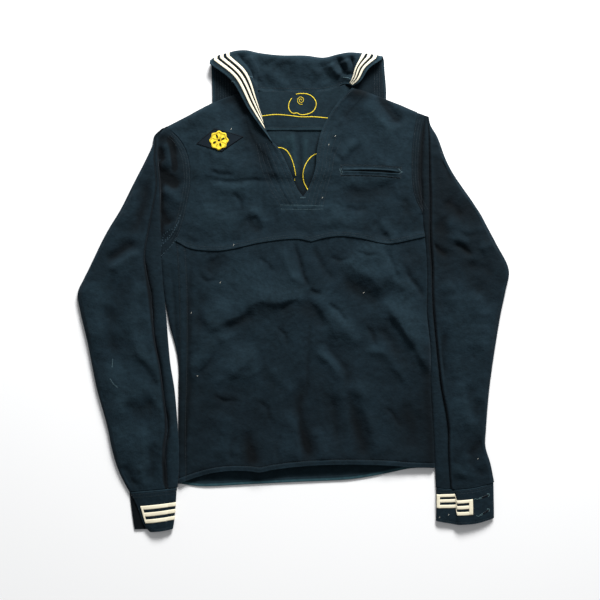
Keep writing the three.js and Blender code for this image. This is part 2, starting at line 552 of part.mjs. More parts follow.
function cuffSection(row, side, rise, base) {
  const low = base + CUFF_CLOTH / 2;
  const top = low + CUFF_CLOTH + LAYER_GAP + CUFF_LOFT;
  const end = low + CUFF_CLOTH + LAYER_GAP;
  const edgeY = (x, farX, farY, belly) => {
    const t = clamp((x - row.innerX) / (farX - row.innerX));
    return mix(row.innerY, farY, t) - belly * Math.sin(Math.PI * t);
  };
  const under = (x) => new THREE.Vector3(x, edgeY(x, row.endX, row.endY, 0), low);
  const over = (x, z) => new THREE.Vector3(x, edgeY(x, row.topX, row.topY, row.belly), z);
  const from = row.innerX;
  return [
    under(row.endX),
    under(mix(row.endX, from, 0.5)),
    under(from + side * 5),
    over(from + side, (low + top) / 2),
    over(from + side * 5, top - 0.3),
    over(row.stepX - side * 1.8, top),
    over(row.stepX + side * 1.8, top + rise),
    over(mix(row.stepX, row.topX, 0.5), top + rise),
    over(mix(row.stepX, row.topX, 0.85), mix(top + rise, end, 0.45)),
    over(row.topX, end),
  ];
}
const CUFF_POINTS = 9; // a cuff's section runs from point 0 to this one
const CUFF_PIECES = 2 * CUFF_POINTS;
function cuffWall(table, side, rise, base) {
  const along = [0, 0.15, 0.35, 0.5, 0.65, 0.8, 1];
  const places = along.map((v) => {
    const row = Object.fromEntries(CUFF_COLUMNS.map((name) => [name, lookUp(table, "v", v, name)]));
    const path = new THREE.CatmullRomCurve3(cuffSection(row, side, rise, base), false, "centripetal");
    return steps(CUFF_PIECES).map((t) => aboveSurface(path.getPoint(t), base + CUFF_CLOTH / 2));
  });
  return { grid: withDirections(places, -side), across: steps(CUFF_PIECES), along };
}
const leftCuff = cuffWall(LEFT_CUFF, -1, 0.8, CUFF_TAPE.thick + SEWN_GAP);
const rightCuff = cuffWall(RIGHT_CUFF, 1, 2.4, 0);
add("cuff_left", wallGeometry(leftCuff.grid, CUFF_CLOTH), NAVY);
add("cuff_right", wallGeometry(rightCuff.grid, CUFF_CLOTH), NAVY);

// The tape on a cuff: three bars and a bar across each end, all one piece.
function cuffTape(wall, stations) {
  const wide = CUFF_TAPE.width / CUFF_DEEP;
  const pitch = CUFF_TAPE.pitch / CUFF_DEEP;
  const ends = [stations.slice(0, 2), stations.slice(-2)];
  const bars = [0, 1, 2].map((n) =>
    stations.map(({ u, v }) => [[u, v + n * pitch], [u, v + n * pitch + wide]]));
  const across = ends.map((pair) =>
    pair.map(({ u, v }) => steps(6).map((t) => [u, v + t * (2 * pitch + wide)])));
  const pieces = [...bars, ...across].map((line) => solid(stripOn(wall, line, CUFF_CLOTH, CUFF_TAPE.thick)));
  return geometryOf(pieces.reduce((a, b) => a.add(b)));
}
// A tape's stations along a cuff's section, whose points are numbered from its hidden end.
function stationsOn(from, to, vAt) {
  const bend = steps(CUFF_PIECES, 0, CUFF_POINTS).filter((p) => p > from + 0.2 && p < to - 0.2);
  return [from, from + 0.16, ...bend, to - 0.16, to].map((p) => ({ u: p / CUFF_POINTS, v: vAt(p) }));
}
const leftStations = stationsOn(1.6, 7.75, () => 0.37);
const rightStations = stationsOn(3.72, 6.85, (p) => mix(0.2, 0.33, smooth(p - 5)));
add("cuff_tape_left", cuffTape(leftCuff, leftStations), CREAM, 0.8);
add("cuff_tape_right", cuffTape(rightCuff, rightStations), CREAM, 0.8);

// Pieces laid on the yoke
const yokeHalf = (grid) => (x, y) => faceUnder(grid, CLOTH, x, y);
function laidOn(face, points, thickness, gap = SEWN_GAP) {
  return points.map((line) => line.map(([x, y]) => ({
    place: new THREE.Vector3(x, y, face(x, y) + gap + thickness / 2),
    out: UP,
  })));
}

// The welt pocket on the wearer's left: two narrow welts with the slot between them.
const POCKET = { left: 84, right: 187, welt: 8.4, slot: 1.6, thick: 1, y: 210.6, fall: -4, bow: 1.4 };
const pocketLine = (x) => {
  const t = (x - POCKET.left) / (POCKET.right - POCKET.left);
  return POCKET.y + POCKET.fall * t + POCKET.bow * Math.sin(Math.PI * t);
};
for (const [name, side] of [["upper", 1], ["lower", -1]]) {
  const lines = [POCKET.slot / 2, POCKET.welt / 2 + 1, POCKET.welt + 1].map((off) =>
    steps(12, POCKET.left, POCKET.right).map((x) => [x, pocketLine(x) + side * off]));
  const grid = laidOn(yokeHalf(rightYoke), side > 0 ? lines : lines.reverse(), POCKET.thick);
  add(`pocket_welt_${name}`, wallGeometry(grid, POCKET.thick), NAVY);
}

// The lozenge patch on the wearer's right, with its round motif.
const PATCH = { thick: 0.8, a: [-167.5, 257.5], b: [-136, 283.5], c: [-87, 269.5], d: [-124, 243.5] };
const patchPoint = (u, v) => [0, 1].map((k) =>
  mix(mix(PATCH.a[k], PATCH.b[k], u), mix(PATCH.d[k], PATCH.c[k], u), v));
const patchGrid = laidOn(yokeHalf(leftYoke), steps(9).map((v) => steps(9).map((u) => patchPoint(u, v))),
  PATCH.thick, LAYER_GAP);
add("patch", wallGeometry(patchGrid, PATCH.thick), NAVY);

const MOTIF = { x: -128.5, y: 262.8, inner: 2.4, outer: 13.4, petals: 10, wave: 1.3, thick: 0.9 };
const motifPoints = (radius) => steps(40).map((t) => {
  const angle = t * 2 * Math.PI;
  const wave = MOTIF.wave * Math.cos(MOTIF.petals * angle) * (radius / MOTIF.outer) ** 3;
  const r = radius > MOTIF.inner ? radius + wave : radius;
  return [MOTIF.x + r * Math.cos(angle), MOTIF.y + r * Math.sin(angle)];
});
const onPatch = (x, y) => faceUnder(patchGrid, PATCH.thick, x, y);
const motifRings = [MOTIF.inner, 6, 9.7, MOTIF.outer].map(motifPoints);
const motifGrid = laidOn(onPatch, motifRings, MOTIF.thick, LAYER_GAP);
add("patch_motif", geometryOf(solid(wallGeometry(motifGrid, MOTIF.thick))), YELLOW, 0.7);

// The facing inside the slash, sewn under the yoke's edges and across below the V.
const SLASH_FACING = { thick: 1, from: 0.23 };
const lowered = (grid, keep) =>
  grid.slice(yokeRows.indexOf(SLASH_FACING.from), -2).map((line) =>
    keep(line).map(({ place }) => ({
      place: place.clone().add(new THREE.Vector3(0, 0, -CLOTH / 2 - SEWN_GAP - SLASH_FACING.thick / 2)),
      out: UP,
    })));
const [leftFacing, rightFacing] = [
  lowered(leftYoke, (line) => line.slice(-3)),
  lowered(rightYoke, (line) => line.slice(0, 3)),
].map((grid) => solid(wallGeometry(grid, SLASH_FACING.thick)));
add("slash_facing", geometryOf(leftFacing.add(rightFacing)), NAVY_INSIDE);

export default jumper;
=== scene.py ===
"""A sailor jumper in fulled navy wool, laid flat on its back, with white tape on its collar and cuffs.

Lengths are in millimetres until a mesh is made. +X is to the right as seen, +Y towards the collar, +Z up.
"""

import math
from collections import namedtuple

import bpy
import numpy as np
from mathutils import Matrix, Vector
from mathutils.bvhtree import BVHTree


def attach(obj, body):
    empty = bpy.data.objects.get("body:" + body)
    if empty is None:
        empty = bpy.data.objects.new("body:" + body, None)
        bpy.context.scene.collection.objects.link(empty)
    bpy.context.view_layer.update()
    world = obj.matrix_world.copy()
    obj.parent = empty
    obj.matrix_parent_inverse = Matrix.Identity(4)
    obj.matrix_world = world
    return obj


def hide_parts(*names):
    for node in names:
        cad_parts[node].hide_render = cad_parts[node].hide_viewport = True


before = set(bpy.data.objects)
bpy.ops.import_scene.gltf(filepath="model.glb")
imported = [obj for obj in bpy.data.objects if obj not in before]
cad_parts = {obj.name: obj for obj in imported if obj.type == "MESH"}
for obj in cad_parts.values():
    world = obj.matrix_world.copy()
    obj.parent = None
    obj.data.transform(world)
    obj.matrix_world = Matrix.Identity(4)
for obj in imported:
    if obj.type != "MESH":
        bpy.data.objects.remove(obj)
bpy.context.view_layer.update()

MM = 0.001
SEED = 7

# Cloth and the gaps between its layers, as in the frame
CLOTH = 1.5
COLLAR_CLOTH = 2
CUFF_CLOTH = 2
FACING_CLOTH = 1.2
LAYER_GAP = 0.5
SEWN_GAP = 0.3
LOFT = 3
EDGE_ROUND = 7
HEM_LIFT = 4.5
HEM_TURN = 8.5
EDGE_ROW = 4.2  # the stitched row along the collar's edge, this far in
FLAP = {"left": -141, "right": 163, "bottom": 232, "lift": 20, "ramp": 26, "stand": 1.1, "deep": 173}
TAPE = {"width": 4.4, "thick": 0.55, "pitch": 8.2, "margin": 7.4}
CUFF_TAPE = {"width": 6.2, "thick": 0.6, "pitch": 10.9, "deep": 68}


# Lines and tables
def table(columns, *lines):
    """Rows of numbers with named columns, as one array for each column."""
    return dict(zip(columns.split(), np.array(lines, float).T))


def ease(t):
    t = np.clip(t, 0, 1)
    return t * t * (3 - 2 * t)


def mix(a, b, t):
    return a + (b - a) * t


def smooth_line(points, pieces=24):
    """Dense points on a smooth line through the given ones. pieces may be one number for each span."""
    p = np.array(points, float)
    counts = [pieces] * (len(p) - 1) if np.isscalar(pieces) else pieces
    ends = np.vstack([2 * p[0] - p[1], p, 2 * p[-1] - p[-2]])
    spans = np.sqrt(np.maximum(np.linalg.norm(np.diff(ends, axis=0), axis=1), 1e-6))
    parts = []
    for k, count in enumerate(counts):
        a, b, c, d = ends[k : k + 4]
        before, own, after = spans[k : k + 3]
        start = own * ((b - a) / before - (c - a) / (before + own) + (c - b) / own)
        stop = own * ((c - b) / own - (d - b) / (own + after) + (d - c) / after)
        t = np.linspace(0, 1, count, endpoint=False)[:, None]
        parts.append(
            b * (2 * t**3 - 3 * t**2 + 1) + start * (t**3 - 2 * t**2 + t)
            + c * (3 * t**2 - 2 * t**3) + stop * (t**3 - t**2))
    return np.vstack([*parts, p[-1:]])


def lengths_along(line):
    return np.concatenate([[0], np.cumsum(np.linalg.norm(np.diff(line, axis=0), axis=1))])


def along(line, shares):
    """The points of a line at shares of its length."""
    lengths = lengths_along(line)
    at = np.asarray(shares, float) * lengths[-1]
    return np.stack([np.interp(at, lengths, line[:, k]) for k in range(line.shape[1])], -1)


def spaced(line, step):
    """The points of a line at about a step from each other."""
    count = max(2, int(round(lengths_along(line)[-1] / step)) + 1)
    return along(line, np.linspace(0, 1, count))


def joined(*lines):
    return np.vstack([lines[0], *(line[1:] for line in lines[1:])])


def stops(length, step, start=(0,), end=(0,)):
    """Shares of a length: given distances from its start and its end, and even steps between them."""
    low, high = max(start), length - max(end)
    count = max(1, int(round((high - low) / step)))
    middle = np.linspace(low, high, count + 1)
    all_stops = np.concatenate([start, middle, [length - e for e in end]])
    return np.unique(np.round(all_stops, 4)) / length


ROUND_EDGE = (0, 0.4, 1.1)
TURNED_EDGE = (0, 0.4, 1.1, 2.2, 3.6, 5, 6.2, 7.2, 8, 8.6, 9.2, 10, 11.2)


def filled(bottom, top, left, right, across, up):
    """Places between two edge lines and two rows of points at the sides: [row, column, x or y]."""
    u, v = np.asarray(across)[None, :, None], np.asarray(up)[:, None, None]
    low, high = along(bottom, across)[None], along(top, across)[None]
    low_chord, high_chord = mix(bottom[0], bottom[-1], u), mix(top[0], top[-1], u)
    return mix(low, high, v) + mix(left[:, None], right[:, None], u) - mix(low_chord, high_chord, v)

def panel(bottom, top, left, right, across, up):
    """A grid of places between four edge lines."""
    return filled(bottom, top, along(left, up), along(right, up), across, up)


# Relief over the plane: folds, seams and uneven lie
def beside(x, y, line):
    """How far places are from a line, positive on its left as it runs, and at which share of it."""
    line = np.array(line, float)
    starts = lengths_along(line)
    off, share, best = np.zeros_like(x), np.zeros_like(x), np.full_like(x, 1e9)
    for a, b, start in zip(line, line[1:], starts):
        dx, dy = b - a
        long = math.hypot(dx, dy)
        t = np.clip(((x - a[0]) * dx + (y - a[1]) * dy) / long**2, 0, 1)
        gap = np.hypot(x - a[0] - dx * t, y - a[1] - dy * t)
        side = np.where(dx * (y - a[1]) - dy * (x - a[0]) >= 0, 1.0, -1.0)
        nearer = gap < best
        best = np.where(nearer, gap, best)
        off = np.where(nearer, side * gap, off)
        share = np.where(nearer, (start + t * long) / starts[-1], share)
    return off, share


def away(x, y, *lines):
    """How far places are from the nearest of some lines."""
    return np.minimum.reduce([np.abs(beside(x, y, line)[0]) for line in lines])


def drift(x, y, size, seed):
    """Soft uneven values from -1 to 1 over the plane, with bumps of about a size."""
    field = np.random.default_rng(SEED + seed).uniform(-1, 1, (64, 64))
    gx, gy = x / size + 300, y / size + 300
    ix, iy = np.floor(gx).astype(int), np.floor(gy).astype(int)
    fx, fy = ease(gx - ix), ease(gy - iy)
    corner = [[field[(iy + j) % 64, (ix + i) % 64] for i in (0, 1)] for j in (0, 1)]
    return mix(mix(corner[0][0], corner[0][1], fx), mix(corner[1][0], corner[1][1], fx), fy)


# A fold is a ridge, or a trough where its height is below 0. left and right are its widths on each side
# of its line, as the line runs: a narrow side is steep.
Fold = namedtuple("Fold", "height left right line")
FOLD_SCALE = 2.1
FOLD_WIDEN = 1.2


def fold_relief(x, y, folds, waver=2.5):
    wx = x + waver * drift(x, y, 34, 1)
    wy = y + waver * drift(x, y, 34, 2)
    uneven = FOLD_SCALE * (1 + 0.25 * drift(x, y, 26, 5))
    relief = np.zeros_like(x)
    for f in folds:
        off, share = beside(wx, wy, f.line)
        width = FOLD_WIDEN * np.where(off > 0, f.left, f.right)
        fade = ease(share / 0.25) * ease((1 - share) / 0.25)
        relief += f.height * uneven * fade * np.exp(-(np.abs(off / width) ** 1.6))
    return relief


def crinkle(x, y, size, seed):
    """Small soft creases in every direction, as cloth keeps from being folded away."""
    wx, wy = x + 0.35 * y, y - 0.35 * x
    sharp = 0.45 - np.abs(drift(wx, wy, size, seed))
    return sharp + 0.6 * (0.4 - np.abs(drift(wx * 0.8 - wy, wx + wy, size * 0.8, seed + 50)))


def fold_wear_and_shade(relief, amount=0.09):
    """Wear on the crests of folds, and below 0 painted shade in their troughs."""
    return np.clip(relief * amount, -0.5, 0.22)


def painted_patches(x, y, patches):
    """Soft patches of painted light, and below 0 of painted shade: each a middle, two half sizes and how
    much.
    """
    cloud = 0
    for px, py, wide, tall, much in patches:
        cloud = cloud + much * np.exp(-((x - px) / wide) ** 2 - ((y - py) / tall) ** 2)
    return cloud


def painted_falloff(y):
    """Painted light and shade: paler towards the shoulders and darker towards the hem, as if lit from above
    the collar.
    """
    return 0.16 * ease((y - 40) / 200) - 0.2 * ease((-60 - y) / 160)


def groove(x, y, line, width=1.3):
    """1 along a line of stitches and 0 away from it."""
    return np.exp(-((away(x, y, line) / width) ** 2))


def band(x, y, line, half_width, edge=2.0):
    """1 on a raised strip along a line, such as a felled seam, and 0 outside it."""
    return ease((half_width - away(x, y, line)) / edge + 0.5)


# The outline of the body, as its seams and edges lie
LEFT_SIDE = smooth_line([(-199, -336), (-198, -280), (-199, -235), (-199, -165), (-199, -129), (-203, -101),
                         (-214, -60), (-220, -29), (-225, 2), (-230, 58)])
RIGHT_SIDE = smooth_line([(247, -308), (245, -248), (240.5, -185), (239, -91), (233, -38), (234, 2),
                          (233.5, 65), (230, 95), (226.5, 134)])
RIGHT_SIDE_LOW = RIGHT_SIDE[:-24]
LEFT_ARMHOLE = smooth_line([(-230, 58), (-205, 88), (-192.5, 116), (-182, 160), (-177.5, 195), (-182.5, 238),
                            (-196, 265), (-219, 287)])
RIGHT_ARMHOLE = smooth_line([(226.5, 134), (213.5, 160), (207.5, 185), (206, 230), (208, 265), (216, 312)])
LEFT_SHOULDER = smooth_line([(-219, 287), (-176, 309), (-138, 328), (-100, 342), (-66, 350)])
RIGHT_SHOULDER = smooth_line([(102, 354), (130, 346), (163, 333), (190, 322.5), (216, 312)])
NECK = smooth_line([(-66, 350), (-60, 347), (-23, 346.5), (30, 346), (58, 348.5), (74.5, 353.5), (88, 360),
                    (102, 354)])
FRONT_HEM = smooth_line([(-199, -336), (-184, -330), (-145, -318), (-110, -313), (-75, -313.5), (-58, -315.5),
                         (-35, -311), (30, -304), (100, -302), (170, -304), (205, -307), (247, -308)])
BACK_HEM = smooth_line([(-199, -336), (-163, -340.5), (-75, -337), (-5, -333.5), (100, -328.5), (140, -322.5),
                        (170, -316.5), (205, -309.5), (247, -308)])
YOKE_SEAM_LEFT = smooth_line([(-205, 88), (-180, 75), (-135, 70.5), (-110, 73), (-58, 84.5), (-12, 90.5),
                              (12, 91), (31.5, 86.5)])
YOKE_SEAM_RIGHT = smooth_line([(31.5, 86.5), (58, 93.5), (82, 96), (117, 92.5), (152, 84.5), (170, 83),
                               (230, 95)])
YOKE_SEAM = joined(YOKE_SEAM_LEFT, YOKE_SEAM_RIGHT)
CENTRE = np.array([(31.5, 86.5), (17.5, 165)], float)
V_LEFT = smooth_line([(17.5, 165), (7, 180), (-5, 209), (-26, 251), (-40, 265), (-51, 286), (-58, 312),
                      (-66, 350)])
V_RIGHT = smooth_line([(17.5, 165), (26, 178), (38.5, 212.5), (42, 247.5), (51, 282.5), (73.5, 322.5),
                       (102, 354)])

BODY_FOLDS = [
    # the crossed crease in the middle, and the slack under it
    Fold(-1.6, 3, 4, [(2, 88), (12, 55), (18, 25), (29, 5)]),
    Fold(1.4, 12, 5, [(-22, 84), (-12, 50), (0, 22), (20, 8)]),
    Fold(-1.2, 3, 5, [(26, 8), (38, 0), (52, -3)]),
    Fold(3.2, 9, 26, [(28, -6), (0, -14), (-30, -18), (-62, -16), (-95, -34)]),
    Fold(2.6, 7, 24, [(-70, -28), (-100, -42), (-132, -58), (-150, -72)]),
    Fold(-1.2, 6, 5, [(12, -16), (-4, -22), (-24, -34)]),
    Fold(2.4, 20, 8, [(24, -6), (44, -24), (60, -45), (76, -76), (84, -96)]),
    Fold(1.8, 12, 9, [(60, -36), (90, -66), (118, -96)]),
    Fold(2.8, 6, 18, [(-98, -66), (-128, -96), (-150, -120), (-176, -162)]),
    Fold(1.6, 8, 20, [(-60, -96), (-88, -128), (-118, -160)]),
    Fold(1.6, 12, 22, [(-44, -132), (-66, -142), (-112, -146), (-152, -168)]),
    Fold(1.4, 9, 16, [(-46, -132), (-24, -154), (0, -188)]),
    Fold(-1.2, 4, 6, [(38, 84), (44, 60), (56, 34), (76, 16)]),
    # the right side
    Fold(3.2, 28, 11, [(88, 66), (108, 38), (140, 22), (166, -6)]),
    Fold(2.2, 18, 12, [(112, 84), (150, 56), (196, 4), (214, -18)]),
    Fold(4.2, 22, 8, [(158, -8), (172, -28), (200, -78), (226, -118), (240, -150)]),
    Fold(-1.6, 4, 5, [(158, 80), (174, 48), (188, 12)]),
    Fold(-1.8, 5, 4, [(196, 44), (208, 20), (232, -16)]),
    Fold(2.0, 12, 6, [(36, -98), (62, -124), (92, -166)]),
    Fold(1.6, 10, 6, [(112, -100), (158, -106), (186, -140), (204, -176)]),
    Fold(2.6, 20, 8, [(92, -152), (118, -182), (132, -222), (148, -296)]),
    Fold(1.6, 12, 10, [(70, -140), (88, -190), (100, -240), (104, -300)]),
    Fold(-1.4, 12, 14, [(184, -190), (206, -230), (214, -290)]),
    # down to the hem
    Fold(-2.0, 6, 9, [(22, -150), (14, -186), (13, -232), (20, -262), (34, -300)]),
    Fold(2.2, 8, 24, [(8, -206), (2, -250), (10, -304)]),
    Fold(2.0, 14, 7, [(36, -232), (44, -262), (56, -304)]),
    Fold(-1.6, 8, 10, [(-84, -240), (-76, -266), (-60, -312)]),
    Fold(1.2, 18, 16, [(-130, -200), (-120, -250), (-124, -310)]),
    Fold(-1.0, 3, 3, [(28, -40), (26, -110), (24, -206)]),
    Fold(1.2, 16, 22, [(-158, 40), (-120, 30), (-84, 44), (-40, 26)]),
    Fold(-1.6, 12, 10, [(-146, 60), (-134, 44), (-150, 26)]),
    Fold(-1.5, 9, 12, [(-66, -36), (-84, -46), (-112, -62), (-128, -64)]),
    Fold(-2.2, 5, 7, [(-110, -78), (-134, -104), (-156, -136), (-172, -160)]),
    Fold(-0.9, 4, 5, [(160, -28), (176, -60), (206, -96), (222, -130), (236, -146)]),
    Fold(-1.3, 10, 12, [(10, -22), (30, -24), (46, -40), (60, -70)]),
    Fold(-1.6, 9, 12, [(80, 24), (104, 10), (132, -8), (156, -28)]),
    Fold(-1.2, 10, 9, [(150, -60), (170, -90), (186, -116)]),
    Fold(-1.4, 7, 7, [(52, -78), (70, -108), (92, -140), (100, -172)]),
    Fold(-1.5, 8, 12, [(96, -178), (106, -210), (116, -250), (128, -296)]),
    Fold(-1.0, 5, 6, [(66, -180), (72, -220), (78, -270)]),
    Fold(-1.2, 10, 8, [(-66, -138), (-58, -142), (-34, -160), (-8, -186)]),
    Fold(-1.2, 10, 14, [(-150, 0), (-166, -30), (-162, -80)]),
    # small creases
    Fold(-1.0, 2.5, 3.5, [(-170, 30), (-150, 18), (-128, 22)]),
    Fold(-0.9, 2.5, 3, [(-62, 62), (-44, 48), (-36, 30)]),
    Fold(-1.0, 3, 3, [(60, 60), (82, 52), (104, 58)]),
    Fold(-0.9, 2.5, 3, [(-30, -58), (-14, -76), (-8, -102)]),
    Fold(-1.1, 3, 4, [(-142, -180), (-120, -191), (-94, -186)]),
    Fold(-0.9, 3, 3, [(-62, -188), (-44, -204), (-40, -230)]),
    Fold(-1.0, 3, 4, [(128, -58), (142, -78), (147, -102)]),
    Fold(-1.0, 3, 3, [(160, -198), (176, -216), (190, -242)]),
    Fold(-0.9, 3, 3, [(-20, -248), (-31, -270), (-26, -298)]),
    Fold(-1.2, 3, 4, [(58, -18), (80, -34), (95, -58)]),
    Fold(-0.9, 2.5, 3, [(108, 72), (128, 60), (152, 64)]),
    Fold(-1.0, 3, 3, [(-98, -248), (-113, -272), (-106, -302)]),
    # beside the left side seam
    Fold(-1.8, 3.2, 4.5, [(-176, 78), (-181, 20), (-182, -60), (-181, -120), (-184, -210), (-188, -262),
                          (-188, -334)]),
    Fold(-1.3, 4, 3, [(-214, 62), (-208, 10), (-206, -50), (-202, -110), (-200, -190), (-198, -320)]),
]

YOKE_FOLDS = [
    Fold(-0.9, 2.5, 4, [(-160, 196), (-120, 193), (-70, 195), (-28, 193)]),
    Fold(1.2, 14, 10, [(-150, 186), (-110, 182), (-60, 186)]),
    Fold(-1.6, 10, 14, [(-88, 302), (-66, 256), (-46, 218), (-28, 172)]),
    Fold(1.2, 10, 8, [(-78, 150), (-60, 128), (-44, 112)]),
    Fold(-1.0, 7, 9, [(-86, 132), (-68, 112), (-54, 100)]),
    Fold(1.3, 14, 20, [(-170, 150), (-130, 128), (-90, 128)]),
    Fold(-1.3, 6, 8, [(-140, 334), (-118, 328), (-96, 342)]),
    Fold(-1.0, 12, 10, [(-96, 346), (-90, 326), (-76, 306)]),
    Fold(1.0, 16, 12, [(-186, 290), (-150, 312), (-120, 314)]),
    Fold(1.0, 14, 14, [(-108, 296), (-120, 236), (-104, 216)]),
    Fold(-1.4, 12, 14, [(78, 180), (112, 172), (150, 180), (186, 178)]),
    Fold(1.4, 10, 16, [(76, 192), (120, 190), (176, 192)]),
    Fold(1.2, 9, 8, [(72, 220), (92, 240), (112, 268)]),
    Fold(-1.2, 7, 7, [(82, 214), (104, 240), (126, 262)]),
    Fold(1.4, 8, 12, [(150, 128), (164, 108), (178, 84)]),
    Fold(-1.2, 6, 6, [(140, 126), (154, 104), (164, 86)]),
    Fold(1.2, 16, 12, [(60, 130), (96, 118), (130, 122)]),
    Fold(-1.6, 6, 9, [(150, 346), (166, 318), (192, 288)]),
    Fold(1.4, 12, 9, [(118, 330), (146, 306), (180, 262)]),
    Fold(-1.0, 12, 10, [(108, 346), (96, 316), (84, 296)]),
    Fold(1.0, 12, 12, [(60, 160), (70, 130), (66, 104)]),
    Fold(-2.0, 4, 7, [(148, 350), (161, 324), (175, 304), (190, 290)]),
    Fold(-1.2, 4, 5, [(-70, 134), (-60, 120), (-62, 102)]),
    Fold(-0.9, 3, 4, [(-150, 214), (-132, 204), (-100, 206)]),
    Fold(-1.0, 4, 5, [(66, 250), (80, 236), (92, 226)]),
    Fold(-0.9, 3, 4, [(-108, 176), (-92, 160), (-88, 138)]),
    Fold(-1.0, 4, 6, [(192, 166), (200, 150), (198, 128)]),
    Fold(-1.2, 5, 6, [(158, 106), (166, 94), (168, 84)]),
    Fold(-0.9, 4, 5, [(90, 146), (112, 140), (132, 148)]),
]

# Patches of painted shade on the front, and a few of painted light
BODY_PAINTED_PATCHES = [
    (25, -32, 42, 20, -0.24), (-30, -30, 32, 11, -0.2), (-92, -47, 36, 13, -0.2),
    (120, 8, 40, 17, -0.2), (132, -60, 36, 28, -0.14), (116, -240, 30, 44, -0.22),
    (28, -266, 15, 30, -0.24), (-75, -286, 11, 20, -0.28), (182, -120, 26, 26, -0.2),
    (202, 52, 22, 30, -0.22), (-150, 42, 24, 17, -0.12), (-120, -215, 30, 30, -0.1),
    (90, -150, 16, 34, -0.14), (-150, -120, 14, 26, -0.12), (-100, 8, 56, 28, 0.06),
    (-55, -100, 56, 36, 0.05), (-38, -180, 46, 30, 0.05), (196, -48, 16, 28, 0.08),
    (132, 52, 28, 22, 0.06), (60, -80, 14, 18, 0.05)]

# Seams of the body as raised strips, and the stitch rows in its cloth
SIDE_SEAM = smooth_line([(-196, 84), (-193, 40), (-191, -20), (-191, -90), (-192, -150), (-194, -230),
                         (-193, -334)])


def back_height(x, y):
    out_left, out_right = FLAP["left"] - FLAP["lift"] - x, x - FLAP["right"] - FLAP["lift"]
    outside = np.maximum.reduce([out_left, out_right, FLAP["bottom"] - FLAP["lift"] - y, np.zeros_like(x)])
    lifted = FLAP["stand"] + COLLAR_CLOTH + LAYER_GAP
    return CLOTH / 2 + lifted * ease(1 - outside / FLAP["ramp"])


def front_height(x, y):
    """The middle of the front's cloth over the surface, folds and seams among it."""
    closed = away(x, y, LEFT_SIDE[::6], RIGHT_SIDE[::6], LEFT_SHOULDER[::6], RIGHT_SHOULDER[::6])
    swell = np.sqrt(1 - (1 - np.clip(closed / EDGE_ROUND, 0, 1)) ** 2)
    folds = fold_relief(x, y, BODY_FOLDS + YOKE_FOLDS)
    slack = (1.1 * drift(x, y, 41, 3) + 0.4 * drift(x, y, 17, 4)
             + 1.2 * crinkle(x, y, 38, 60) + 0.35 * crinkle(x, y, 16, 61))
    hem = ease((x + 199) / 150) * ease((247 - x) / 180) * ease((-230 - y) / 90)
    seam = 0.6 * band(x, y, SIDE_SEAM[::6], 6.5) * (y < 90)
    body = np.maximum(LOFT + folds + slack, 0.5) + seam
    return back_height(x, y) + CLOTH + LAYER_GAP + swell * body + HEM_LIFT * hem


# Meshes
# The last field carries real wear, painted light and painted shade: above 0 it pales the cloth, below 0 it
# deepens it.
Surface = namedtuple("Surface", "points quads uv wear")


def grid_quads(m, n):
    at = np.arange(m * n).reshape(m, n)
    return np.stack([at[:-1, :-1], at[:-1, 1:], at[1:, 1:], at[1:, :-1]], -1).reshape(-1, 4)


def surface(grid, uv=None, wear=None):
    """An open sheet on a grid of places. uv runs in metres with the weave."""
    m, n = grid.shape[:2]
    if uv is None:
        uv = grid[..., :2] * MM
    if wear is None:
        wear = np.zeros((m, n))
    return Surface(grid.reshape(-1, 3), grid_quads(m, n), uv.reshape(-1, 2), wear.reshape(-1))


def turned_over(sheet):
    """The same sheet with its other side outwards."""
    return Surface(sheet.points, sheet.quads[:, ::-1], sheet.uv, sheet.wear)


def directions(points, quads):
    """The outward direction at each point, from the faces round it."""
    a, b, c, d = (points[quads[:, k]] for k in range(4))
    normal = np.cross(c - a, d - b)
    total = np.zeros_like(points)
    for k in range(4):
        np.add.at(total, quads[:, k], normal)
    return total / np.maximum(np.linalg.norm(total, axis=1, keepdims=True), 1e-9)


def open_edges(quads, count):
    a = quads.reshape(-1)
    b = np.roll(quads, -1, axis=1).reshape(-1)
    single = ~np.isin(a * count + b, b * count + a)
    return a[single], b[single]


def mesh_object(name, points, quads, uv, wear, finish):
    mesh = bpy.data.meshes.new(name)
    points = np.column_stack([points[:, :2], np.maximum(points[:, 2], 0)])
    mesh.from_pydata((points * MM).tolist(), [], quads.tolist())
    mesh.polygons.foreach_set("use_smooth", np.ones(len(quads), bool))
    layer = mesh.uv_layers.new(name="cloth")
    corners = np.zeros(len(mesh.loops), int)
    mesh.loops.foreach_get("vertex_index", corners)
    layer.data.foreach_set("uv", uv[corners].astype(np.float32).ravel())
    mesh.attributes.new("wear", "FLOAT", "POINT").data.foreach_set("value", wear.astype(np.float32))
    mesh.materials.append(finish)
    mesh.validate()
    made = bpy.data.objects.new(name, mesh)
    bpy.context.scene.collection.objects.link(made)
    return made


def cloth(name, sheet, thickness, finish, extra=0.0, pinch=0.35):
    """A closed wall of cloth round an open sheet, with soft edges."""
    count = len(sheet.points)
    out = directions(sheet.points, sheet.quads)
    a, b = open_edges(sheet.quads, count)
    half = np.full(count, thickness / 2)
    half[np.union1d(a, b)] *= pinch
    extra = np.broadcast_to(extra, count)
    points = np.vstack([sheet.points + out * (half + extra)[:, None], sheet.points - out * half[:, None]])
    rim = np.stack([b, a, a + count, b + count], -1)
    quads = np.vstack([sheet.quads, sheet.quads[:, ::-1] + count, rim])
    return mesh_object(name, points, quads, np.tile(sheet.uv, (2, 1)), np.tile(sheet.wear, 2), finish)


ROUND_ANGLES = np.radians([25, 50, 75, 100, 125, 150, 172])
ROUND_COLUMNS = len(ROUND_ANGLES)

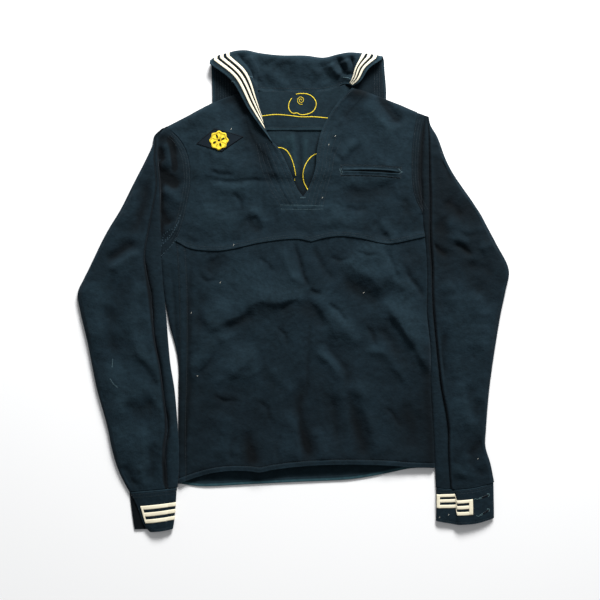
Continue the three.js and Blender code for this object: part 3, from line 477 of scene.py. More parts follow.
def round_over(grid, base, side):
    """Columns that carry a panel round its side edge and down to the layer under it."""
    edge, inner = (grid[:, 0], grid[:, 2]) if side < 0 else (grid[:, -1], grid[:, -3])
    outward = edge - inner
    outward[:, 2] = 0
    outward /= np.maximum(np.linalg.norm(outward, axis=1, keepdims=True), 1e-9)
    radius = (edge[:, 2] - base) / 2
    turns = []
    for angle in ROUND_ANGLES:
        place = edge + outward * (radius * math.sin(angle))[:, None]
        place[:, 2] = base + radius * (1 + math.cos(angle))
        turns.append(place)
    turned = np.stack(turns, 1)
    if side < 0:
        return np.concatenate([turned[:, ::-1], grid], 1)
    return np.concatenate([grid, turned], 1)


class Pieces:
    """The finished pieces, for laying others on them."""

    def __init__(self):
        self.trees = {}

    def keep(self, made):
        mesh = made.data
        places = np.zeros(len(mesh.vertices) * 3)
        mesh.vertices.foreach_get("co", places)
        faces = [tuple(p.vertices) for p in mesh.polygons]
        self.trees[made.name] = BVHTree.FromPolygons(places.reshape(-1, 3).tolist(), faces)
        return made

    def top(self, x, y, names):
        """The highest place on some pieces over a point, and its outward direction."""
        start, down = Vector((x * MM, y * MM, 0.2)), Vector((0, 0, -1))
        hits = [self.trees[name].ray_cast(start, down) for name in names]
        hits = [(hit[0], hit[1]) for hit in hits if hit[0] is not None]
        if not hits:
            return None
        place, out = max(hits, key=lambda hit: hit[0].z)
        return np.array(place) / MM, np.array(out if out.z > 0 else -out)

    def lay(self, line, names):
        """A row of places and directions on the pieces, under a row of x and y. Misses are left out."""
        found = [self.top(x, y, names) for x, y in line]
        found = [hit for hit in found if hit is not None]
        return np.array([hit[0] for hit in found]), np.array([hit[1] for hit in found])


pieces = Pieces()


# Finishes
class Value:
    """A socket of numbers in a finish. Arithmetic on it adds Math nodes."""

    def __init__(self, finish, socket):
        self.finish, self.socket = finish, socket

    def _with(self, operation, other):
        return self.finish.node("ShaderNodeMath", {"operation": operation}, {0: self, 1: other}).out()

    def __add__(self, other):
        return self._with("ADD", other)

    def __sub__(self, other):
        return self._with("SUBTRACT", other)

    def __mul__(self, other):
        return self._with("MULTIPLY", other)

    __radd__ = __add__
    __rmul__ = __mul__


class Made:
    """A node that has been added, and its output sockets."""

    def __init__(self, finish, node):
        self.finish, self.node = finish, node

    def out(self, name=0):
        return Value(self.finish, self.node.outputs[name])


class Finish:
    """A material of one finish, built node by node."""

    def __init__(self, name):
        self.material = bpy.data.materials.new(name)
        self.material.use_nodes = True
        self.tree = self.material.node_tree
        self.tree.nodes.clear()

    def node(self, kind, settings=None, sockets=None):
        node = self.tree.nodes.new(kind)
        for name, value in (settings or {}).items():
            setattr(node, name, value)
        for name, value in (sockets or {}).items():
            if isinstance(value, Value):
                self.tree.links.new(value.socket, node.inputs[name])
            else:
                node.inputs[name].default_value = value
        return Made(self, node)

    def noise(self, place, scale, detail=2.0, roughness=0.5):
        sockets = {"Vector": place, "Scale": scale, "Detail": detail, "Roughness": roughness}
        return self.node("ShaderNodeTexNoise", None, sockets).out("Fac")

    def ribs(self, place, scale, distortion):
        settings = {"wave_type": "BANDS", "bands_direction": "X", "wave_profile": "SIN"}
        sockets = {"Vector": place, "Scale": scale, "Distortion": distortion, "Detail": 1.0,
                   "Detail Scale": 2.0}
        return self.node("ShaderNodeTexWave", settings, sockets).out("Fac")

    def blend(self, share, a, b):
        """A colour between two, by a share."""
        sockets = {0: share, 6: a, 7: b}
        return self.node("ShaderNodeMix", {"data_type": "RGBA"}, sockets).out(2)

    def object_place(self):
        return self.node("ShaderNodeTexCoord").out("Object")

    def weave_place(self):
        return self.node("ShaderNodeUVMap", {"uv_map": "cloth"}).out("UV")

    def turned(self, place, angle, stretch=(1, 1, 1)):
        sockets = {"Vector": place, "Rotation": (0, 0, math.radians(angle)), "Scale": stretch}
        return self.node("ShaderNodeMapping", None, sockets).out("Vector")

    def bump(self, height, distance, strength=1.0, under=None):
        sockets = {"Height": height, "Distance": distance, "Strength": strength}
        if under is not None:
            sockets["Normal"] = under
        return self.node("ShaderNodeBump", None, sockets).out("Normal")

    def finish(self, sockets):
        shader = self.node("ShaderNodeBsdfPrincipled", None, sockets).out("BSDF")
        self.node("ShaderNodeOutputMaterial", None, {"Surface": shader})
        return self.material


def wool(name, dark, light, worn_and_lit, deep, nap=1.0):
    """Fulled wool: a fine twill under a felted nap, mottled, paler where it has worn and where light is
    painted on it, and deeper where shade is painted on it.
    """
    f = Finish(name)
    weave, place = f.weave_place(), f.object_place()
    twill = f.ribs(f.turned(weave, 38), 430.0, 1.4)
    felt = f.noise(f.turned(weave, 0, (1, 0.6, 1)), 900.0, 3.0, 0.65)
    mottle = f.noise(place, 130.0, 3.0, 0.6)
    broad = f.noise(place, 20.0, 3.0, 0.55)
    # The attribute read here is real wear with painted light above 0, which blends towards the pale worn
    # colour, and painted shade below 0.
    wear = f.node("ShaderNodeAttribute", {"attribute_name": "wear"}).out("Fac")
    patchy = f.noise(place, 52.0, 3.0, 0.6)
    shade = 1.15 * mottle + 0.9 * broad + 0.8 * patchy + 0.4 * felt + 0.08 * twill - 1.13
    cloth_colour = f.blend(shade, (*dark, 1), (*light, 1))
    worn_and_lit_share = wear * (0.2 + 1.1 * mottle)
    colour = f.blend(worn_and_lit_share, cloth_colour, (*worn_and_lit, 1))
    # Below 0 the attribute is painted shade, which deepens the cloth towards the deep colour.
    colour = f.blend(wear * -1.6, colour, (*deep, 1))
    crumple = f.noise(place, 62.0, 2.0, 0.55)
    pile = f.noise(place, 340.0, 2.0, 0.6)
    low = f.bump(crumple, 0.0019, 0.85 * nap)
    middle = f.bump(pile, 0.0006, 0.7 * nap, low)
    top = f.bump(felt * 0.7 + twill * 0.3, 0.00022, 0.7, middle)
    return f.finish({
        "Base Color": colour, "Roughness": 0.8 + 0.16 * felt, "Normal": top, "Specular IOR Level": 0.1,
        "Sheen Weight": 0.05, "Sheen Roughness": 0.5, "Sheen Tint": (0.62, 0.8, 1.0, 1)})


def woven_tape(name):
    """Flat cotton tape: fine ribs across it, off-white, with a little grey in the grain."""
    f = Finish(name)
    weave, place = f.weave_place(), f.object_place()
    ribs = f.ribs(weave, 560.0, 0.5)
    grain = f.noise(place, 700.0, 2.0)
    soil = f.noise(place, 55.0, 3.0, 0.6)
    shade = 0.55 * soil + 0.3 * grain + 0.2 * ribs
    colour = f.blend(shade, (0.95, 0.9, 0.72, 1), (0.78, 0.7, 0.5, 1))
    normal = f.bump(ribs * 0.6 + grain * 0.4, 0.00022, 0.6, f.bump(soil, 0.0006, 0.35))
    return f.finish({"Base Color": colour, "Roughness": 0.72 + 0.2 * grain, "Normal": normal,
                     "Specular IOR Level": 0.3, "Sheen Weight": 0.1})


def thread(name, colour, deep, roughness=0.6, sheen=0.1):
    """Twisted thread: two tones along its strands."""
    f = Finish(name)
    place = f.object_place()
    strand = f.noise(f.turned(place, 33, (1, 3, 1)), 900.0, 2.0)
    uneven = f.noise(place, 90.0, 2.0)
    mixed = f.blend(0.5 * strand + 0.6 * uneven, (*deep, 1), (*colour, 1))
    return f.finish({"Base Color": mixed, "Roughness": roughness + 0.2 * strand,
                     "Normal": f.bump(strand, 0.00015, 0.5), "Specular IOR Level": 0.2,
                     "Sheen Weight": sheen})


def felt(name, colour):
    """Felt, pressed flat: short fibres in every direction."""
    f = Finish(name)
    place = f.object_place()
    fibre = f.noise(place, 1100.0, 4.0, 0.7)
    cloud = f.noise(place, 90.0, 2.0)
    light = tuple(c * 1.6 for c in colour)
    mixed = f.blend(0.5 * fibre + 0.5 * cloud, (*colour, 1), (*light, 1))
    return f.finish({"Base Color": mixed, "Roughness": 0.95, "Normal": f.bump(fibre, 0.0002, 0.7),
                     "Specular IOR Level": 0.1, "Sheen Weight": 0.04})


NAVY = wool("navy wool", (0.0025, 0.007, 0.0102), (0.0067, 0.0168, 0.0245), (0.02, 0.043, 0.057),
            (0.001, 0.0024, 0.0034))
NAVY_INSIDE = wool("navy wool, inner side", (0.0036, 0.0094, 0.0134), (0.0092, 0.0215, 0.0295),
                   (0.027, 0.068, 0.082), (0.0013, 0.0029, 0.0042), 0.8)
WHITE_TAPE = woven_tape("white tape")
NAVY_THREAD = thread("navy thread", (0.017, 0.03, 0.038), (0.005, 0.009, 0.013))
TACK_THREAD = thread("tack thread", (0.06, 0.115, 0.135), (0.016, 0.034, 0.042))
BLUE_THREAD = thread("mending thread", (0.11, 0.2, 0.26), (0.02, 0.05, 0.07))
TEAL_THREAD = thread("buttonhole thread", (0.09, 0.17, 0.18), (0.03, 0.055, 0.065))
YELLOW_THREAD = thread("yellow thread", (0.9, 0.74, 0.05), (0.6, 0.42, 0.015), 0.5)
WHITE_THREAD = thread("white thread", (0.8, 0.78, 0.7), (0.5, 0.48, 0.4))
DARK_THREAD = thread("dark satin thread", (0.004, 0.005, 0.008), (0.002, 0.002, 0.004), 0.8, 0.0)
PATCH_FELT = felt("dark felt", (0.0044, 0.0082, 0.012))


# Stitches. One tree sets small threads along lines that lie on the cloth.
def sewing_tree():
    tree = bpy.data.node_groups.new("sewn along a line", "GeometryNodeTree")
    tree.interface.new_socket("Geometry", in_out="INPUT", socket_type="NodeSocketGeometry")
    sizes = {"Spacing": 0.003, "Stitch length": 0.0024, "Thread width": 0.0006, "Thread height": 0.0005,
             "Turn": 0.0, "Unevenness": 0.1}
    for name, value in sizes.items():
        tree.interface.new_socket(name, in_out="INPUT", socket_type="NodeSocketFloat").default_value = value
    tree.interface.new_socket("Seed", in_out="INPUT", socket_type="NodeSocketInt").default_value = SEED
    tree.interface.new_socket("Thread", in_out="INPUT", socket_type="NodeSocketMaterial")
    tree.interface.new_socket("Geometry", in_out="OUTPUT", socket_type="NodeSocketGeometry")

    def node(kind, settings=None, sockets=None):
        made = tree.nodes.new(kind)
        for name, value in (settings or {}).items():
            setattr(made, name, value)
        for name, value in (sockets or {}).items():
            if isinstance(value, bpy.types.NodeSocket):
                tree.links.new(value, made.inputs[name])
            else:
                made.inputs[name].default_value = value
        return made.outputs

    given = node("NodeGroupInput")
    line = node("GeometryNodeMeshToCurve", None, {"Mesh": given["Geometry"]})["Curve"]
    line = node("GeometryNodeResampleCurve", {"mode": "LENGTH"},
                {"Curve": line, "Length": given["Spacing"]})["Curve"]
    size = node("ShaderNodeCombineXYZ", None, {"X": given["Stitch length"], "Y": given["Thread width"],
                                               "Z": given["Thread height"]})["Vector"]
    ball = node("GeometryNodeMeshUVSphere", None, {"Segments": 6, "Rings": 4, "Radius": 0.5})["Mesh"]
    stitch = node("GeometryNodeTransform", None, {"Geometry": ball, "Scale": size})["Geometry"]
    tangent = node("GeometryNodeInputTangent")["Tangent"]
    up = node("GeometryNodeInputNamedAttribute", {"data_type": "FLOAT_VECTOR"}, {"Name": "up"})["Attribute"]
    facing = node("FunctionNodeAlignRotationToVector", {"axis": "X"}, {"Vector": tangent})["Rotation"]
    facing = node("FunctionNodeAlignRotationToVector", {"axis": "Z", "pivot_axis": "X"},
                  {"Rotation": facing, "Vector": up})["Rotation"]
    low, high = [node("ShaderNodeVectorMath", {"operation": "SCALE"},
                      {0: (0.3, 0.3, way), "Scale": given["Unevenness"]})[0] for way in (-1.0, 1.0)]
    lean = node("FunctionNodeRandomValue", {"data_type": "FLOAT_VECTOR"},
                {0: low, 1: high, "Seed": given["Seed"]})["Value"]
    turn = node("ShaderNodeCombineXYZ", None, {"Z": given["Turn"]})["Vector"]
    lean = node("ShaderNodeVectorMath", {"operation": "ADD"}, {0: lean, 1: turn})[0]
    facing = node("FunctionNodeRotateRotation", {"rotation_space": "LOCAL"},
                  {"Rotation": facing, "Rotate By": lean})["Rotation"]
    long = node("FunctionNodeRandomValue", {"data_type": "FLOAT"},
                {2: 0.82, 3: 1.12, "Seed": given["Seed"]})[1]
    row = node("GeometryNodeInstanceOnPoints", None,
               {"Points": line, "Instance": stitch, "Rotation": facing, "Scale": long})["Instances"]
    made = node("GeometryNodeRealizeInstances", None, {"Geometry": row})["Geometry"]
    made = node("GeometryNodeSetShadeSmooth", None, {"Geometry": made})["Geometry"]
    made = node("GeometryNodeSetMaterial", None, {"Geometry": made, "Material": given["Thread"]})["Geometry"]
    node("NodeGroupOutput", None, {"Geometry": made})
    return tree


SEWING = sewing_tree()


def set_input(modifier, name, value):
    for item in modifier.node_group.interface.items_tree:
        if item.item_type == "SOCKET" and item.in_out == "INPUT" and item.name == name:
            modifier[item.identifier] = value


def sewn(name, lines, finish, spacing, length, width, height=None, turn=0.0, uneven=0.1, raised=0.0):
    """Stitches along lines of places and directions that lie on the cloth, as one plain mesh."""
    places, ups, edges, count = [], [], [], 0
    for line, out in lines:
        if len(line) < 2:
            continue
        places.append(line + out * raised)
        ups.append(out)
        edges += [(count + k, count + k + 1) for k in range(len(line) - 1)]
        count += len(line)
    mesh = bpy.data.meshes.new(name + "_lines")
    mesh.from_pydata((np.vstack(places) * MM).tolist(), edges, [])
    up = mesh.attributes.new("up", "FLOAT_VECTOR", "POINT")
    up.data.foreach_set("vector", np.vstack(ups).astype(np.float32).ravel())
    guide = bpy.data.objects.new(name + "_lines", mesh)
    bpy.context.scene.collection.objects.link(guide)
    modifier = guide.modifiers.new("sewing", "NODES")
    modifier.node_group = SEWING
    sizes = {"Spacing": spacing, "Stitch length": length, "Thread width": width,
             "Thread height": height or width * 0.8}
    for key, value in sizes.items():
        set_input(modifier, key, value * MM)
    set_input(modifier, "Turn", turn)
    set_input(modifier, "Unevenness", uneven)
    set_input(modifier, "Thread", finish)
    bpy.context.view_layer.update()
    shown = guide.evaluated_get(bpy.context.evaluated_depsgraph_get())
    plain = bpy.data.meshes.new_from_object(shown)
    plain.name = name
    made = bpy.data.objects.new(name, plain)
    bpy.context.scene.collection.objects.link(made)
    bpy.data.objects.remove(guide)
    return made


# The back: one piece from hem to shoulders. Its upper side shows in the neck slash and at the hem.
back_columns = np.unique(np.concatenate([
    stops(450, 5, ROUND_EDGE, ROUND_EDGE), np.arange(0.36, 0.62, 0.006)]))
back_grid = panel(
    BACK_HEM, joined(LEFT_SHOULDER, NECK, RIGHT_SHOULDER), joined(LEFT_SIDE, LEFT_ARMHOLE),
    joined(RIGHT_SIDE, RIGHT_ARMHOLE), back_columns, stops(680, 5, TURNED_EDGE, ROUND_EDGE))
BACK_FOLDS = [
    Fold(0.9, 5, 4, [(2, 282), (0, 240), (4, 190)]),
    Fold(-0.9, 3, 5, [(10, 280), (12, 230), (14, 172)]),
    Fold(1.0, 4, 5, [(22, 282), (20, 236), (22, 178)]),
    Fold(0.8, 8, 8, [(-60, 270), (-30, 262), (10, 268)]),
]


def back_surface(grid):
    x, y = grid[..., 0], grid[..., 1]
    hem = away(x, y, BACK_HEM[::6])
    turned = 0.9 * ease((HEM_TURN - hem) / 1.5) * ease((x + 199) / 60) * ease((247 - x) / 60)
    folds = fold_relief(x, y, BACK_FOLDS)
    z = back_height(x, y) + folds + turned - 0.4 * np.exp(-((hem - HEM_TURN) / 1.2) ** 2)
    z = z + 0.25 * ease(drift(x, y, 30, 8)) * (y < FLAP["bottom"] - 40)
    slash = np.minimum(away(x, y, V_LEFT[::6]), away(x, y, V_RIGHT[::6]))
    in_slash = (y > 160) & (y < 300)
    wear = 1.2 * ease((5.5 - hem) / 2) * (y < 0) + fold_wear_and_shade(folds)
    # Painted shade along the slash's edges and towards its foot, where the yoke's edges shade the back.
    wear = wear - in_slash * (0.3 * ease((6 - slash) / 5) + 0.3 * ease((212 - y) / 40))
    return surface(np.dstack([x, y, np.maximum(z, CLOTH / 2)]), wear=wear)


back = pieces.keep(cloth("back_cloth", back_surface(back_grid), CLOTH, NAVY_INSIDE))

# The front below the yoke. It runs 7 mm up under the yoke's lower edge.
UNDERLAP = 7
front_top = joined(np.array([(-230, 58), (-224, 66)], float), YOKE_SEAM + (0, UNDERLAP))
front_right = joined(RIGHT_SIDE_LOW, front_top[-2:])
front_grid = panel(FRONT_HEM, front_top, LEFT_SIDE, front_right, stops(450, 2.5, ROUND_EDGE, ROUND_EDGE),
                   stops(398, 2.5, TURNED_EDGE))


def front_surface(grid):
    x, y = grid[..., 0], grid[..., 1]
    hem = away(x, y, FRONT_HEM[::6])
    sides = away(x, y, LEFT_SIDE[::6], RIGHT_SIDE[::6])
    turned = 0.9 * ease((HEM_TURN - hem) / 1.5) - 0.7 * np.exp(-((hem - HEM_TURN) / 1.3) ** 2)
    pucker = 0.18 * np.sin(x / 1.7 + 2 * drift(x, y, 12, 9)) * np.exp(-((hem - HEM_TURN) / 4) ** 2)
    seam = off_seam(x, y, 6.5)
    z = front_height(x, y) + turned + pucker - seam
    # Wear at the hem and the sides; painted shade in the grooves beside the side seam and in fold troughs;
    # painted light and shade patches and falloff; darker along the lower right side.
    wear = (0.3 * ease((3.2 - hem) / 3) + 0.12 * ease((HEM_TURN - hem) / 2) - 0.5 * seam
            + 0.1 * ease((3 - sides) / 3) + fold_wear_and_shade(fold_relief(x, y, BODY_FOLDS)) + painted_falloff(y)
            + painted_patches(x, y, BODY_PAINTED_PATCHES)
            - 0.3 * ease((24 - away(x, y, RIGHT_SIDE[::6])) / 20) * ease((-50 - y) / 60))
    grid = np.dstack([x, y, z])
    base = back_height(x, y)
    grid = round_over(round_over(grid, base[:, 0], -1), base[:, -1], 1)
    wear = np.pad(wear, ((0, 0), (ROUND_COLUMNS, ROUND_COLUMNS)), mode="edge")
    return surface(grid, wear=wear)


def off_seam(x, y, half_width):
    """The two grooves beside the felled side seam."""
    off = away(x, y, SIDE_SEAM[::6])
    return 0.5 * np.exp(-((off - half_width) / 1.4) ** 2)


front = pieces.keep(cloth("front_cloth", front_surface(front_grid), CLOTH, NAVY))

# The yoke: two halves that are one cloth below the slash, with their lower edge turned in over the front.
SLASH = 0.3
YOKE_OVER = 1.7
LEFT_OPEN = joined(CENTRE, V_LEFT)
RIGHT_OPEN = joined(CENTRE, V_RIGHT)
PLACKET_LEFT = [smooth_line(line) for line in [
    [(-40, 258), (-24, 227), (-11, 196), (2, 166), (8, 152)],
    [(-46, 257), (-32, 222), (-18, 190), (-5, 163), (0, 152)],
    [(-52, 256), (-40, 218), (-25, 184), (-12, 160), (-7, 151)],
    [(-58, 256), (-47, 214), (-32, 180), (-18, 158), (-14, 150)],
    [(-64, 257), (-53, 210), (-38, 176), (-25, 156), (-21, 148)]]]
PLACKET_RIGHT = [smooth_line(line) for line in [
    [(57, 282), (48, 248), (44, 213), (32, 180), (26, 152)],
    [(63, 276), (54, 246), (50, 212), (39, 178), (32, 151)],
    [(69, 272), (60, 243), (56, 211), (45, 177), (38, 150)],
    [(75, 268), (66, 240), (62, 211), (52, 178), (45, 149)],
    [(84, 262), (72, 236), (68, 212), (59, 180), (52, 147)]]]
TAB_ROWS = [smooth_line([(-21, 150.5), (16, 150), (52, 149)]),
            smooth_line([(-20, 143.5), (16, 143), (52, 143.5)])]
YOKE_ROWS = [YOKE_SEAM + (0, off) for off in (3.2, 7)]
POCKET = {"left": 84, "right": 187, "welt": 8.4, "slot": 1.6, "y": 210.6, "fall": -4, "bow": 1.4}


def pocket_line(x):
    t = (x - POCKET["left"]) / (POCKET["right"] - POCKET["left"])
    return POCKET["y"] + POCKET["fall"] * t + POCKET["bow"] * np.sin(math.pi * t)


def halves():
    """The yoke's two grids on the plane, which share the points of their centre below the slash."""
    low, high = stops(80, 2.5, (0, 0.5, 1.2, 2.2)), stops(186, 2.5, (0,), ROUND_EDGE)
    up = np.concatenate([low * SLASH, SLASH + high[1:] * (1 - SLASH)])
    across = stops(215, 2.5, ROUND_EDGE, ROUND_EDGE)
    grids = []
    for bottom, top, open_edge, arm, side in [
            (YOKE_SEAM_LEFT, LEFT_SHOULDER, V_LEFT, LEFT_ARMHOLE[24:], -1),
            (YOKE_SEAM_RIGHT, RIGHT_SHOULDER, V_RIGHT, joined(RIGHT_SIDE[-25:], RIGHT_ARMHOLE), 1)]:
        inner = np.vstack([along(CENTRE, low), along(open_edge, high)[1:]])
        outer = along(arm, up)
        left, right = (outer, inner) if side < 0 else (inner, outer)
        grids.append(filled(bottom, top, left, right, across, up))
    return grids, len(low)


def yoke_relief(x, y):
    seam = np.abs(beside(x, y, YOKE_SEAM[::8])[0])
    over = YOKE_OVER * ease((14 - seam) / 9)
    rows = sum(0.45 * groove(x, y, row[::8]) for row in YOKE_ROWS)
    pucker = 0.15 * np.sin(x / 1.6 + 2 * drift(x, y, 9, 11)) * ease((10 - seam) / 4)
    near_slash = (y > 135) & (y < 300) & (x > -80) & (x < 100)
    placket = np.zeros_like(x)
    for row in PLACKET_LEFT + PLACKET_RIGHT:
        placket[near_slash] += 0.3 * groove(x[near_slash], y[near_slash], row[::8], 1.5)
    tab = sum(0.5 * groove(x, y, row[::8], 1.5) for row in TAB_ROWS)
    thick = 0.9 * ease((26 - away(x, y, V_LEFT[::6], V_RIGHT[::6])) / 3) * ease((y - 141) / 4)
    edge = away(x, y, LEFT_OPEN[60::6], RIGHT_OPEN[60::6])
    lip = 0.8 * np.exp(-((edge - 3) / 3) ** 2) * ease((y - 165) / 20)
    sunk = ease((10.4 - np.abs(y - pocket_line(x))) / 2.6) * ease((x - 81) / 3) * ease((190 - x) / 3)
    return over - rows + pucker - placket - tab + thick + lip - sunk


# The line beside which the collar's painted shadow falls on the yoke
COLLAR_SHADOW_LINE = [(-112, 346), (-92, 332), (-80, 306), (-66, 280), (-46, 250)]
# Patches of painted shade on the yoke, the deepest under the collar's right end, and two of painted light
YOKE_PAINTED_PATCHES = [
    (114, 347, 22, 13, -0.8), (100, 310, 24, 26, -0.12), (125, 172, 42, 15, -0.16), (-70, 116, 34, 20, -0.1),
    (-160, 320, 26, 14, -0.12), (200, 150, 14, 30, -0.14), (160, 260, 40, 26, 0.06),
    (-120, 170, 40, 22, 0.06)]


def yoke_wear_light_and_shade(x, y):
    seam = np.abs(beside(x, y, YOKE_SEAM[::8])[0])
    slash = away(x, y, V_LEFT[::6], V_RIGHT[::6])
    tab = ease((8 - np.abs(y - 147)) / 4) * ease((x + 24) / 6) * ease((56 - x) / 6)
    # Painted shade in the pocket's open slot.
    slot = ease((3.5 - np.abs(y - pocket_line(x))) / 2) * ease((x - 90) / 6) * ease((184 - x) / 6)
    # Wear along the seam, the slash and the tab; painted shade in the slot, in fold troughs, in patches and
    # under the collar; painted light falloff; a little darker towards the right.
    return (0.12 * ease((9 - seam) / 4) + 0.1 * ease((26 - slash) / 6) + 0.2 * ease((3 - slash) / 3)
            + 0.2 * tab + fold_wear_and_shade(fold_relief(x, y, YOKE_FOLDS)) - 0.6 * slot + painted_falloff(y)
            - 0.06 * ease((x - 50) / 60) - 0.42 * np.exp(-((away(x, y, COLLAR_SHADOW_LINE) / 19) ** 2))
            + painted_patches(x, y, YOKE_PAINTED_PATCHES))


def yoke_surface():
    grids, joined_rows = halves()
    sheets = []
    for grid, side in zip(grids, (-1, 1)):
        x, y = grid[..., 0], grid[..., 1]
        full = np.dstack([x, y, front_height(x, y) + yoke_relief(x, y)])
        base = back_height(x[-1], y[-1])
        full = round_over(full.transpose(1, 0, 2), base, 1).transpose(1, 0, 2)
        arm = full[:, 0 if side < 0 else -1]
        on_side = ease((140 - arm[:, 1]) / 8) if side > 0 else np.zeros(len(arm))
        full = round_over(full, mix(arm[:, 2] - 0.9, back_height(arm[:, 0], arm[:, 1]), on_side), side)
        beside_columns = (ROUND_COLUMNS, 0) if side < 0 else (0, ROUND_COLUMNS)
        wear = np.pad(yoke_wear_light_and_shade(x, y), ((0, ROUND_COLUMNS), beside_columns), mode="edge")
        sheets.append(surface(full, wear=wear))
    left, right = sheets
    columns = grids[0].shape[1] + ROUND_COLUMNS
    right_columns = grids[1].shape[1] + ROUND_COLUMNS
    shift = len(left.points)
    quads = right.quads + shift
    for row in range(joined_rows):
        quads[quads == shift + row * right_columns] = row * columns + columns - 1
    used = np.vstack([left.quads, quads])
    points = np.vstack([left.points, right.points])
    keep = np.unique(used)
    number = np.zeros(len(points), int)
    number[keep] = np.arange(len(keep))
    uv, wear = np.vstack([left.uv, right.uv]), np.concatenate([left.wear, right.wear])
    return Surface(points[keep], number[used], uv[keep], wear[keep])


yoke = pieces.keep(cloth("yoke_cloth", yoke_surface(), CLOTH, NAVY))

# The facing inside the back of the neck, and the one inside the slash
FACING_LOW = 281
facing_top = smooth_line([(-77, 349.5), (-60, 349.2), (-23, 348.7), (30, 348.2), (58, 350.7), (74.5, 355.7),
                          (91, 361)])
facing_low = np.array([(-92, FACING_LOW), (108, FACING_LOW)], float)
facing_grid = panel(facing_low, facing_top, np.array([facing_low[0], facing_top[0]]),
                    np.array([facing_low[1], facing_top[-1]]), stops(200, 4, ROUND_EDGE, ROUND_EDGE),
                    stops(68, 3, (0, 0.4, 1.1, 2, 3, 4, 5.4), ROUND_EDGE))


def facing_surface(grid):
    x, y = grid[..., 0], grid[..., 1]
    low = y - FACING_LOW
    z = back_height(x, y) + CLOTH / 2 + SEWN_GAP + FACING_CLOTH / 2
    z = z + 0.15 * ease((5 - low) / 2) - 0.4 * np.exp(-((low - 5) / 1.2) ** 2) + 0.5 * drift(x, y, 24, 15)
    return surface(np.dstack([x, y, np.maximum(z, 5.2)]), wear=0.1 * ease((5 - low) / 3))


neck_facing = pieces.keep(cloth("neck_facing_cloth", facing_surface(facing_grid), FACING_CLOTH, NAVY_INSIDE))


def slash_strip(edge, outward):
    """A strip under one edge of the slash."""
    line = spaced(edge, 3)
    offs = np.array([0.8, 1.4, 5, 12, 20, 26])
    grid = line[:, None, :] + offs[None, :, None] * np.array([outward, 0.15])[None, None, :]
    return grid if outward > 0 else grid[:, ::-1]


def slash_surface():
    shift = 0
    points, quads, uvs, wear_light_and_shade_parts = [], [], [], []
    for edge, outward in [(V_LEFT[:-20], -1), (V_RIGHT[:-20], 1)]:
        grid = slash_strip(edge, outward)
        x, y = grid[..., 0], grid[..., 1]
        z = front_height(x, y) - CLOTH / 2 - 0.15 - 0.5
        part = surface(np.dstack([x, y, z]))
        points.append(part.points)
        quads.append(part.quads + shift)
        uvs.append(part.uv)
        wear_light_and_shade_parts.append(part.wear)
        shift += len(part.points)
    return Surface(np.vstack(points), np.vstack(quads), np.vstack(uvs), np.concatenate(wear_light_and_shade_parts))


slash_facing = pieces.keep(cloth("slash_facing_cloth", slash_surface(), 0.8, NAVY_INSIDE))

# The collar: from the left end at the slash, round the neck seam, to the right end. Each row is one line
# across it, from the neck seam over two points up to the roll; under the roll it goes down the back flap.
COLLAR = table(
    "share neck_x neck_y rise low_x low_y high_x high_y roll_x roll_y roll crown",
    (0, -35, 258, 1, -75, 312, -107, 366, -145, 402, 6.2, 4),
    (0.03, -46, 278, 1, -72, 321, -98, 371, -135, 409, 6.6, 5),
    (0.06, -50.5, 289, 1, -67, 327, -90, 375, -123, 412.5, 6.6, 5),
    (0.09, -53.5, 300, 1, -63.5, 332, -81, 379, -111, 415.5, 6.6, 4.5),
    (0.14, -58.5, 322, 1, -62.5, 350, -71, 382, -97, 419, 6, 3),
    (0.21, -62, 349, 0.45, -61, 370, -67, 396, -80, 419.5, 5.2, 0),
    (0.27, -50, 347.6, 0, -53, 373, -59, 396, -62, 415.5, 5, 0),
    (0.4, -20, 347.3, 0, -21, 371, -23, 394, -24, 411, 5, 0),
    (0.55, 20, 347, 0, 20, 370, 20, 393, 20, 410.5, 5, 0.5),
    (0.67, 52, 348.5, 0, 52, 370, 52, 391, 51, 407, 5, 0),
    (0.76, 74, 354.5, 0, 74, 374, 74, 397, 76, 413, 5.2, 1),
    (0.82, 87, 361.5, 0, 90, 376, 93, 396, 95, 416, 5.6, 2),
    (0.88, 96, 361.5, 0.3, 101, 374, 105, 391, 109, 415, 6.2, 3),
    (0.94, 100, 360, 0.5, 108, 371, 115, 389, 130, 413, 6.2, 3.5),
    (1, 103, 357.5, 0.6, 117, 365, 132, 387, 154, 409, 6.2, 3))
COLLAR_FOLDS = [
    Fold(-4.5, 6, 7, [(-97, 416), (-82, 392), (-70, 376), (-66, 356)]),
    Fold(2.2, 6, 9, [(-78, 412), (-66, 386), (-58, 364)]),
    Fold(-1.0, 8, 12, [(-40, 408), (-30, 392), (-8, 376)]),
    Fold(0.9, 14, 9, [(-50, 392), (-34, 374), (-10, 364)]),
    Fold(-0.8, 7, 9, [(-10, 404), (-4, 384), (-16, 360)]),
    Fold(1.1, 14, 9, [(12, 402), (34, 388), (52, 374)]),
    Fold(-0.9, 6, 8, [(44, 398), (56, 380), (70, 366)]),
    Fold(-3.6, 6, 6, [(84, 412), (80, 396), (90, 384), (88, 372)]),
    Fold(2.4, 5, 6, [(66, 400), (74, 386), (84, 374)]),
    Fold(2.2, 4, 5, [(92, 404), (98, 390), (96, 376)]),
    Fold(-3.2, 4, 4, [(103, 410), (103.5, 388), (101, 368)]),
]


